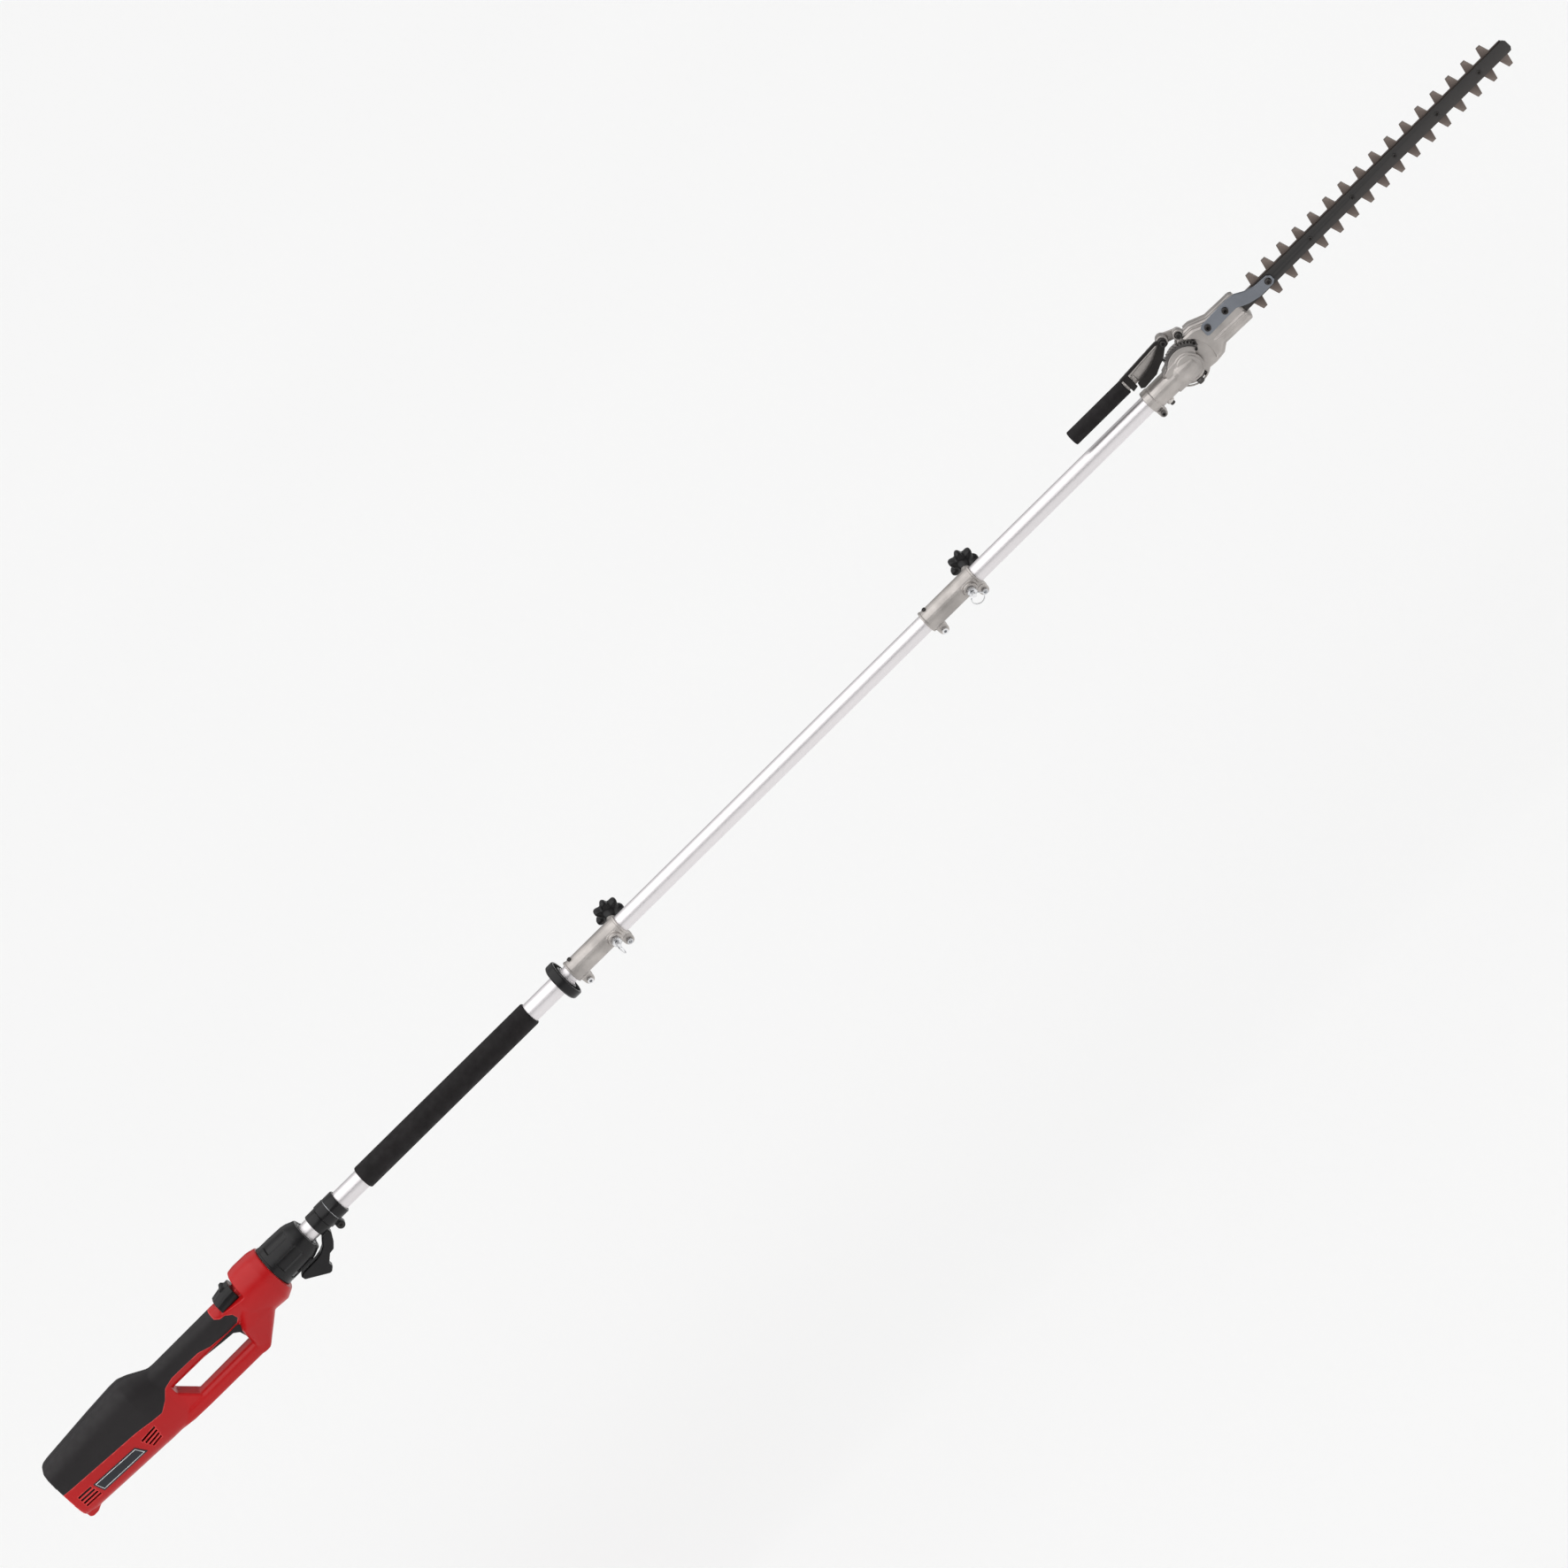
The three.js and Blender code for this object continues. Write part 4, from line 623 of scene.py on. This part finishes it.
def housing_form():
    """The whole outside of the housing as one even mesh, with the lock button's pocket cut out."""
    solid = closed_object("housing_solid", [
        [section_ring(*row) for row in REAR_BODY],
        [section_ring(*row) for row in GRIP],
        [section_ring(*row) for row in LOWER_BAR],
        [section_ring(*row) for row in MOTOR_COLLAR],
        [strut_ring(*row) for row in STRUT],
        slab_rings(REAR_WEB, WEB_HALF_WIDTH),
        slab_rings(REAR_FOOT, FOOT_HALF_WIDTH),
    ])
    pocket = closed_object("button_pocket", [
        box_rings(POCKET_REAR, POCKET_FRONT, -POCKET_TOP, -POCKET_SIDE, POCKET_BOTTOM, POCKET_TOP),
        box_rings(POCKET_REAR, POCKET_FRONT, POCKET_SIDE, POCKET_TOP, POCKET_BOTTOM, POCKET_TOP),
        box_rings(329.9, 373.1, -60.1, 60.1, POCKET_BED, 60.1),  # 0.1 past the others all round
    ])
    add_remesh(solid, "union", UNION_VOXEL)
    gap = solid.modifiers.new("pocket", "BOOLEAN")
    gap.operation, gap.object, gap.solver = "DIFFERENCE", pocket, "EXACT"
    gap.use_self = True
    add_remesh(solid, "even", SKIN_VOXEL)
    add_smoothing(solid, SKIN_SMOOTHING)
    builder = evaluated_builder(solid)
    bpy.data.objects.remove(pocket)
    return builder


def inside(outline, x, z):
    """Whether the point is inside the outline, both in the XZ plane."""
    crossings = 0
    for (x0, z0), (x1, z1) in zip(outline, outline[1:] + outline[:1]):
        if (z0 > z) != (z1 > z) and x < x0 + (x1 - x0) * (z - z0) / (z1 - z0):
            crossings += 1
    return crossings % 2 == 1


def drawn(point):
    """Design coordinates of a point of the frame."""
    return (point - ORIGIN) / MM


def score(builder, outline, margin=3.0):
    """Cuts the faces near the outline along its sides, through the whole width of the tool."""
    for (x0, z0), (x1, z1) in zip(outline, outline[1:] + outline[:1]):
        low = (min(x0, x1) - margin, min(z0, z1) - margin)
        high = (max(x0, x1) + margin, max(z0, z1) + margin)
        near = []
        for face in builder.faces:
            spot = drawn(face.calc_center_median())
            if low[0] < spot.x < high[0] and low[1] < spot.z < high[1]:
                near.append(face)
        edges = {edge for face in near for edge in face.edges}
        points = {point for face in near for point in face.verts}
        bmesh.ops.bisect_plane(
            builder, geom=near + list(edges) + list(points), dist=1e-6,
            plane_co=place(x0, 0, z0), plane_no=Vector((z1 - z0, 0, x0 - x1)).normalized(),
        )


def louvre_outlines():
    """A slanted slot of the rear group and one of the front group, row by row downwards."""
    outlines = []
    for i in range(LOUVRE_COUNT):
        z = LOUVRE_TOP - i * LOUVRE_STEP
        outlines.append([(13, z), (37 + i, z - 1), (37 + i, z - 4.3), (13, z - 3.3)])
        rear, front = 131 + i * 2, 158 - i
        outlines.append([(rear, z - 5), (front, z - 3), (front, z - 6.3), (rear, z - 8.3)])
    return outlines


def flat_cut(builder, co, normal):
    bmesh.ops.bisect_plane(
        builder, geom=builder.faces[:] + builder.edges[:] + builder.verts[:], dist=1e-6,
        plane_co=co, plane_no=normal,
    )


def snap_mouth(builder):
    """Moves the points near the motor mouth's edge onto its circle."""
    for point in builder.verts:
        spot = drawn(point.co)
        across = math.hypot(spot.y, spot.z)
        if spot.x > HOUSING_FRONT - MOUTH_LIP and abs(across - MOUTH_RADIUS) < SNAP_REACH:
            y, z = spot.y * MOUTH_RADIUS / across, spot.z * MOUTH_RADIUS / across
            point.co = place(spot.x, y, z)


def is_opening(spot, louvres):
    """Whether the place is in the open rear, motor mouth, seam, trigger slot or a louvre."""
    if spot.x < OPEN_REAR or abs(spot.y) < SEAM_HALF:
        return True
    if spot.x > HOUSING_FRONT - MOUTH_LIP and math.hypot(spot.y, spot.z) < MOUTH_RADIUS:
        return True
    beside_slot = SLOT_REAR < spot.x < SLOT_FRONT and SLOT_BOTTOM < spot.z < SLOT_TOP
    if beside_slot and abs(spot.y) < SLOT_HALF_WIDTH:
        return True
    return abs(spot.y) > SIDE_FROM and any(inside(outline, spot.x, spot.z) for outline in louvres)


def keep_faces(builder, wanted):
    """A copy with only the faces whose middle is wanted."""
    copy = builder.copy()
    unwanted = [face for face in copy.faces if not wanted(drawn(face.calc_center_median()))]
    bmesh.ops.delete(copy, geom=unwanted, context="FACES")
    return copy


def add_thickness(piece, thickness, offset):
    """Thickens a skin inwards where the offset is -1, and outwards where it is 1."""
    shell = piece.modifiers.new("wall", "SOLIDIFY")
    shell.thickness = thickness * MM
    shell.offset = offset


def add_badge(builder):
    """A plain plate that stands proud of the shell, with a thin light line inside its edge."""
    def on_plate(p):
        return p.y < -SIDE_FROM and inside(BADGE, p.x, p.z)

    def on_line(p):
        return (
            p.y < -SIDE_FROM
            and inside(BORDER_OUTER, p.x, p.z) and not inside(BORDER_INNER, p.x, p.z)
        )

    badge = piece_from(keep_faces(builder, on_plate), "badge_skin", "frame", "badge")
    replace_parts(badge, "badge_plate")
    border = piece_from(keep_faces(builder, on_line), "badge_border", "frame", "bright_steel")
    add_thickness(badge, BADGE_RISE, 1)
    add_thickness(border, BORDER_RISE, 1)


def add_housing():
    builder = housing_form()
    louvres = louvre_outlines()
    for outline in [SOFT_PANEL, BADGE, BORDER_OUTER, BORDER_INNER, *louvres]:
        score(builder, outline)
    for y in (-SEAM_HALF, SEAM_HALF, -SLOT_HALF_WIDTH, SLOT_HALF_WIDTH):
        flat_cut(builder, place(0, y, 0), Vector((0, 1, 0)))
    snap_mouth(builder)
    add_badge(builder)
    middles = ((face, drawn(face.calc_center_median())) for face in builder.faces)
    opened = [face for face, middle in middles if is_opening(middle, louvres)]
    bmesh.ops.delete(builder, geom=opened, context="FACES")
    for part, slot, soft in (("housing", "red_shell", False), ("soft_grip", "soft_grip", True)):
        for side, sign in (("right", -1), ("left", 1)):
            node = f"{part}_{side}"
            faces = keep_faces(builder, lambda p: (
                p.y * sign > 0 and inside(SOFT_PANEL, p.x, p.z) == soft
            ))
            piece = piece_from(faces, node + "_skin", "frame", slot)
            add_thickness(piece, SKIN_THICKNESS, -1)
            add_bevel(piece, SKIN_EDGE, 2, 55)
            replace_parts(piece, node)
    builder.free()


# ---------- Turned pieces round the pole ----------
TURNED_POINTS = 96
FOAM_REAR, FOAM_FRONT, FOAM_RADIUS = 599, 922, 17.8
STOP_REAR, STOP_FRONT, STOP_RADIUS = 978, 992.5, 29
TUBE_STEP = 994.5  # where the handle tube narrows to the size of the others
COLLAR_REAR, COLLAR_FRONT = 521.6, 554.1
LEVER_HEIGHT = 40  # of the lever sleeve's axis
SLEEVE_FRONT = 2103
TUBE_WALL = 1.5
SLIDING_GAP, FIXED_GAP = 0.2, 0.3
ON_AXIS = 0.01  # a radius too small to see
MERGE_DISTANCE = 1e-7


def radius_of(node):
    low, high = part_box(node)
    return (high.z - low.z) / 2 / MM


def ends_of(node):
    low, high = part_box(node)
    return drawn(low).x, drawn(high).x


def ring_round_pole(x, radius, count, height=0):
    ring = []
    for i in range(count):
        angle = 2 * math.pi * i / count
        ring.append(place(x, radius * math.cos(angle), height + radius * math.sin(angle)))
    return ring


def skin_closed(builder, rings):
    """Faces between rings whose last one lies on the first one."""
    skin(builder, rings, False, False)
    bmesh.ops.remove_doubles(builder, verts=builder.verts, dist=MERGE_DISTANCE)
    bmesh.ops.recalc_face_normals(builder, faces=builder.faces)


def turned(name, body, slot, profile, height=0, rounding=0.3):
    """A closed profile of (x, radius) turned round the pole's axis, or round a line above it."""
    builder = bmesh.new()
    skin_closed(builder, [
        ring_round_pole(x, radius, TURNED_POINTS, height) for x, radius in [*profile, profile[0]]
    ])
    piece = piece_from(builder, name, body, slot)
    add_bevel(piece, rounding)
    return piece


def add_turned_pieces():
    outer, thin = radius_of("handle_tube"), radius_of("extension_tube")
    bore = thin - TUBE_WALL
    rear, front = ends_of("handle_tube")
    profiles = {
        "handle_tube": ("tube_aluminium", [
            (rear, bore), (rear, outer), (TUBE_STEP, outer), (TUBE_STEP, thin), (front, thin),
            (front, bore),
        ]),
        "foam_grip": ("foam", [
            (FOAM_REAR, outer + SLIDING_GAP), (FOAM_REAR, FOAM_RADIUS - 1.6),
            (FOAM_REAR + 0.6, FOAM_RADIUS - 0.6), (FOAM_REAR + 2, FOAM_RADIUS),
            (FOAM_FRONT - 2, FOAM_RADIUS), (FOAM_FRONT - 0.6, FOAM_RADIUS - 0.6),
            (FOAM_FRONT, FOAM_RADIUS - 1.6), (FOAM_FRONT, outer + SLIDING_GAP),
        ]),
        "hand_stop_ring": ("black_shell", [
            (STOP_REAR, outer + SLIDING_GAP), (STOP_REAR, 26), (STOP_REAR + 2, 28.4),
            (STOP_REAR + 4, STOP_RADIUS), (STOP_FRONT - 1.5, STOP_RADIUS), (STOP_FRONT, 28),
            (STOP_FRONT, 25.5), (STOP_FRONT - 7, 24), (STOP_FRONT - 7, 19), (STOP_FRONT, 18),
            (STOP_FRONT, outer + SLIDING_GAP),
        ]),
    }
    for node in ("extension_tube", "head_tube"):
        rear, front = ends_of(node)
        profiles[node] = ("tube_aluminium", [
            (rear, bore), (rear, thin), (front, thin), (front, bore),
        ])
    for node, (slot, profile) in profiles.items():
        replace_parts(turned(node + "_round", "frame", slot, profile), node)
    turned("hanger_collar_band", "frame", "black_shell", [
        (COLLAR_REAR, outer + FIXED_GAP), (521.5, 18.2), (522.6, 18.75), (536.4, 18.75),
        (536.5, 17.4), (537.7, 17.4), (537.8, 18.2), (552.8, 18.2), (COLLAR_FRONT, 17.4),
        (COLLAR_FRONT, outer + FIXED_GAP),
    ])
    turned("rest_foot_band", "frame", "black_shell", [
        (503.9, outer + FIXED_GAP), (503.9, 16.8), (505, 17.4), (520, 17.4), (521.1, 16.8),
        (521.1, outer + FIXED_GAP),
    ])
    turned("collar_line", "frame", "bright_steel", [
        (536.6, 17), (536.6, 17.7), (537.6, 17.7), (537.6, 17),
    ], rounding=0.1)
    rear = ends_of("lever_sleeve")[0]
    sleeve = turned("lever_sleeve_round", "head", "foam", [
        (rear, ON_AXIS), (rear, 10), (rear + 0.4, 10.8), (rear + 1.4, 11.2),
        (SLEEVE_FRONT - 0.6, 11.2), (SLEEVE_FRONT, 10.8), (SLEEVE_FRONT, 8.3), (rear + 3, 8.3),
        (rear + 3, ON_AXIS),
    ], LEVER_HEIGHT)
    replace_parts(sleeve, "lever_sleeve")


# ---------- Front cap ----------
CAP_REAR, CAP_FRONT = 424.4, 489.5
CAP_POINTS = 192
CAP_PROFILE = [
    (CAP_REAR, 32.4), (427.4, 32.6), (428, 32), (446, 31.9), (470, 31), (478, 29.2), (484, 26.6),
    (488.2, 25.2), (CAP_FRONT, 24.2),
]
FINE_FROM, FINE_STEP, FINE_COUNT = 430, 0.8, 58  # closer rings where the windows are
WINDOW_REAR, WINDOW_FRONT, WINDOW_DEPTH = 435, 474, 2.4
WINDOW_COUNT = 6
WINDOW_REAR_SLOPE, WINDOW_FRONT_SLOPE = 1.6, 5
CAP_SCREWS = [(-20.6, 8.4), (20.6, 8.4), (-14, -18.4), (14, -18.4)]


def step_up(value, start, end):
    """Rises smoothly from 0 at the start to 1 at the end."""
    t = min(max((value - start) / (end - start), 0), 1)
    return t * t * (3 - 2 * t)


def cap_radius(x, angle):
    """Radius of the cap's outside, less by the depth of a window where there is one."""
    for (x0, r0), (x1, r1) in zip(CAP_PROFILE, CAP_PROFILE[1:]):
        if x <= x1:
            radius = r0 + (r1 - r0) * (x - x0) / (x1 - x0)
            break
    around = step_up(math.cos(WINDOW_COUNT * angle), -0.15, 0.2)
    opening = step_up(x, WINDOW_REAR, WINDOW_REAR + WINDOW_REAR_SLOPE)
    along = opening * (1 - step_up(x, WINDOW_FRONT - WINDOW_FRONT_SLOPE, WINDOW_FRONT))
    return radius - WINDOW_DEPTH * around * along


def add_cap():
    """A barrel with six recessed windows, ribs between them and four screws in its flat nose."""
    fine = {FINE_FROM + FINE_STEP * i for i in range(FINE_COUNT)}
    rings = []
    for x in sorted({x for x, _ in CAP_PROFILE} | fine):
        ring = []
        for i in range(CAP_POINTS):
            angle = 2 * math.pi * i / CAP_POINTS
            radius = cap_radius(x, angle)
            ring.append(place(x, radius * math.cos(angle), radius * math.sin(angle)))
        rings.append(ring)
    bore = radius_of("handle_tube") + FIXED_GAP
    nose_and_inside = [
        (CAP_FRONT, 21), (CAP_FRONT - 0.9, 20.4), (CAP_FRONT - 0.9, 19), (CAP_FRONT, 18.4),
        (CAP_FRONT, bore), (462, bore), (462, 27.4), (CAP_REAR, 28.8), CAP_PROFILE[0],
    ]
    rings += [ring_round_pole(x, radius, CAP_POINTS) for x, radius in nose_and_inside]
    builder = bmesh.new()
    skin_closed(builder, rings)
    cap = piece_from(builder, "front_cap_ribbed", "frame", "black_shell")
    add_bevel(cap, 0.35, 2, 40)
    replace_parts(cap, "front_cap")
    forward = Vector((1, 0, 0))
    for i, (y, z) in enumerate(CAP_SCREWS):
        at = place(CAP_FRONT - 1.6, y, z)
        socket_screw(f"cap_screw_{i + 1}", "frame", at, forward, 2.5, 2.2)


# ---------- Knobs and fasteners ----------
COUPLER_REAR = (1002, 1683)
COUPLER_ROLL = math.radians(20)
KNOB_FROM_REAR = 89
KNOB_POINTS, KNOB_LOBES = 112, 7
# Rows of radius, reach from the pole's axis and depth of the lobes.
KNOB_PROFILE = [
    (3, 13.5, 0), (9, 24.5, 0), (9.4, 27, 0), (13, 30.2, 0.6), (17, 31, 1.8), (20.4, 32.2, 2.9),
    (21.6, 34, 3.0), (22, 37, 3.0), (21.8, 41, 3.0), (20.8, 43.6, 2.9), (18.4, 45, 2.4),
    (14.5, 45, 1.4), (12.6, 44, 0.6), (11.6, 42.4, 0), (5, 42, 0), (4.4, 43.4, 0), (3.6, 43.8, 0),
]
FRONT_LUG_FROM_REAR, LUG_HALF_WIDTH, LUG_DROP = 86, 7, -25
TO_RIGHT, TO_LEFT, DOWN = Vector((0, -1, 0)), Vector((0, 1, 0)), Vector((0, 0, -1))
BAR_RIGHT, BAR_HEIGHT = -6.3, 7
BLADES_LEFT = 2.95  # clear of the left blade, so that it slides under the nuts
ARM_BOLT_X = 2340.5
ARM_SCREWS = (2239.7, 2272.4)
BAR_SCREWS = [2421 + i * 80 for i in range(5)]
CASE_LEFT = 20
CASE_SCREWS = [(2284, 24.5), (2284, -8), (2226, 31.5), (2226, -14.5)]
COLLAR_EAR = (532, -23.5)


def rolled(x, y, z):
    """A place on a coupler, which is turned about the pole."""
    cos_r, sin_r = math.cos(COUPLER_ROLL), math.sin(COUPLER_ROLL)
    return place(x, y * cos_r - z * sin_r, y * sin_r + z * cos_r)


def rolled_axis(y, z):
    return rolled(0, y, z) - place(0, 0, 0)


def add_knob(n):
    """A seven-lobed knob with a hollow rim, on a turned hub."""
    builder = bmesh.new()
    skin(builder, [
        circle(radius, reach, KNOB_POINTS, KNOB_LOBES, depth)
        for radius, reach, depth in KNOB_PROFILE
    ])
    at = rolled(COUPLER_REAR[n] + KNOB_FROM_REAR, 0, 0)
    builder.transform(pose_along(at, rolled_axis(1, 0)))
    name = f"coupler_{n + 1}_knob"
    piece = piece_from(builder, name + "_lobed", f"knob_{n + 1}", "black_shell")
    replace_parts(piece, name)


def add_coupler_screws(n):
    x = COUPLER_REAR[n] + FRONT_LUG_FROM_REAR
    label = f"coupler_{n + 1}"
    right, left = rolled(x, -LUG_HALF_WIDTH, LUG_DROP), rolled(x, LUG_HALF_WIDTH, LUG_DROP)
    outwards = rolled_axis(-1, 0)
    socket_screw(label + "_front_screw", "frame", right, outwards, 4.4, 4, "bright_steel")
    hex_bolt(label + "_front_nut", "frame", left, -outwards, 4.2, 3.4, "bright_steel")
    top = rolled(COUPLER_REAR[n] + 11, 2, 16)
    socket_screw(label + "_locating_screw", "frame", top, rolled_axis(0.12, 1), 3, 2.4)


def add_screw_boss():
    boss = bmesh.new()
    skin(boss, [
        circle(6.2, -4), circle(5.6, 1.8), circle(5.2, 2.6), circle(4.2, 2.8), circle(4, 2.2),
    ])
    boss.transform(pose_along(place(2131.5, -3, -17), DOWN))
    piece_from(boss, "sleeve_screw_boss", "frame", "cast_aluminium")


def add_head_fasteners():
    for i, x in enumerate(ARM_SCREWS):
        socket_screw(f"arm_screw_{i + 1}", "head", place(x, -18.3, 22.6), TO_RIGHT, 4.7, 3.8)
    at = place(ARM_BOLT_X, -9.7, BAR_HEIGHT)
    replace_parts(hex_bolt("arm_end_bolt", "head", at, TO_RIGHT, 4.6, 3.8), "arm_bolt")
    at = place(ARM_BOLT_X, BLADES_LEFT, BAR_HEIGHT)
    hex_bolt("arm_end_nut", "head", at, TO_LEFT, 4.4, 3.0)
    hex_bolt("lug_bolt", "head", place(2203, -6.4, 40.5), TO_RIGHT, 5.0, 5.2)
    for name, body, at, axis, radius, height in (
        ("lever_boss_screw", "latch", place(2181.5, -14.5, 49.5), TO_RIGHT, 4.2, 2.6),
        ("sector_end_screw", "frame", place(2211.6, -14, 20.6), TO_RIGHT, 3.4, 4.0),
        ("carrier_screw", "frame", place(2207.6, -14.2, 11.6), TO_RIGHT, 2.3, 2.0),
        ("pivot_underside_screw", "frame", place(2181, -12.6, -21.5), DOWN, 4.9, 6.4),
    ):
        socket_screw(name, body, at, axis, radius, height)
    add_screw_boss()
    socket_screw("sleeve_screw", "frame", place(2131.5, -3, -19.4), DOWN, 3.6, 4.6)
    for i, x in enumerate(BAR_SCREWS):
        right, left = place(x, BAR_RIGHT, BAR_HEIGHT), place(x, BLADES_LEFT, BAR_HEIGHT)
        socket_screw(f"bar_screw_{i + 1}", "head", right, TO_RIGHT, 3.3, 1.5)
        socket_screw(f"bar_nut_{i + 1}", "head", left, TO_LEFT, 3.3, 2.2)
    for i, (x, z) in enumerate(CASE_SCREWS):
        socket_screw(f"case_screw_{i + 1}", "head", place(x, CASE_LEFT, z), TO_LEFT, 3.2, 1.8)
    x, z = COLLAR_EAR
    socket_screw("collar_ear_screw", "frame", place(x, -5, z), TO_RIGHT, 4.2, 1.8)
    hex_bolt("collar_ear_nut", "frame", place(x, 5, z), TO_LEFT, 4.2, 3)


# ---------- Floor ----------
FLOOR_DEPTH = 0.62  # metres below the tool, so that the head swings down clear of it
FLOOR_SIZE = 40


def add_floor():
    builder = bmesh.new()
    bmesh.ops.create_grid(builder, x_segments=8, y_segments=8, size=FLOOR_SIZE)
    mesh = bpy.data.meshes.new("floor")
    builder.to_mesh(mesh)
    builder.free()
    surface = Surface("pale_floor", (0.93, 0.93, 0.925), 0.7)
    surface.bump(surface.noise(40, 2), 0.02, 0.001)
    mesh.materials.append(surface.finish(shade=0.99, patch=0.7))
    floor = bpy.data.objects.new("floor", mesh)
    floor.location.z = cad_box[0].z - FLOOR_DEPTH
    bpy.context.scene.collection.objects.link(floor)


add_camera()
add_world()
add_key_light()
bpy.context.scene.view_settings.view_transform = "Standard"
dress_nodes()
add_housing()
add_turned_pieces()
add_cap()
for coupler in (0, 1):
    add_knob(coupler)
    add_coupler_screws(coupler)
add_head_fasteners()
add_floor()
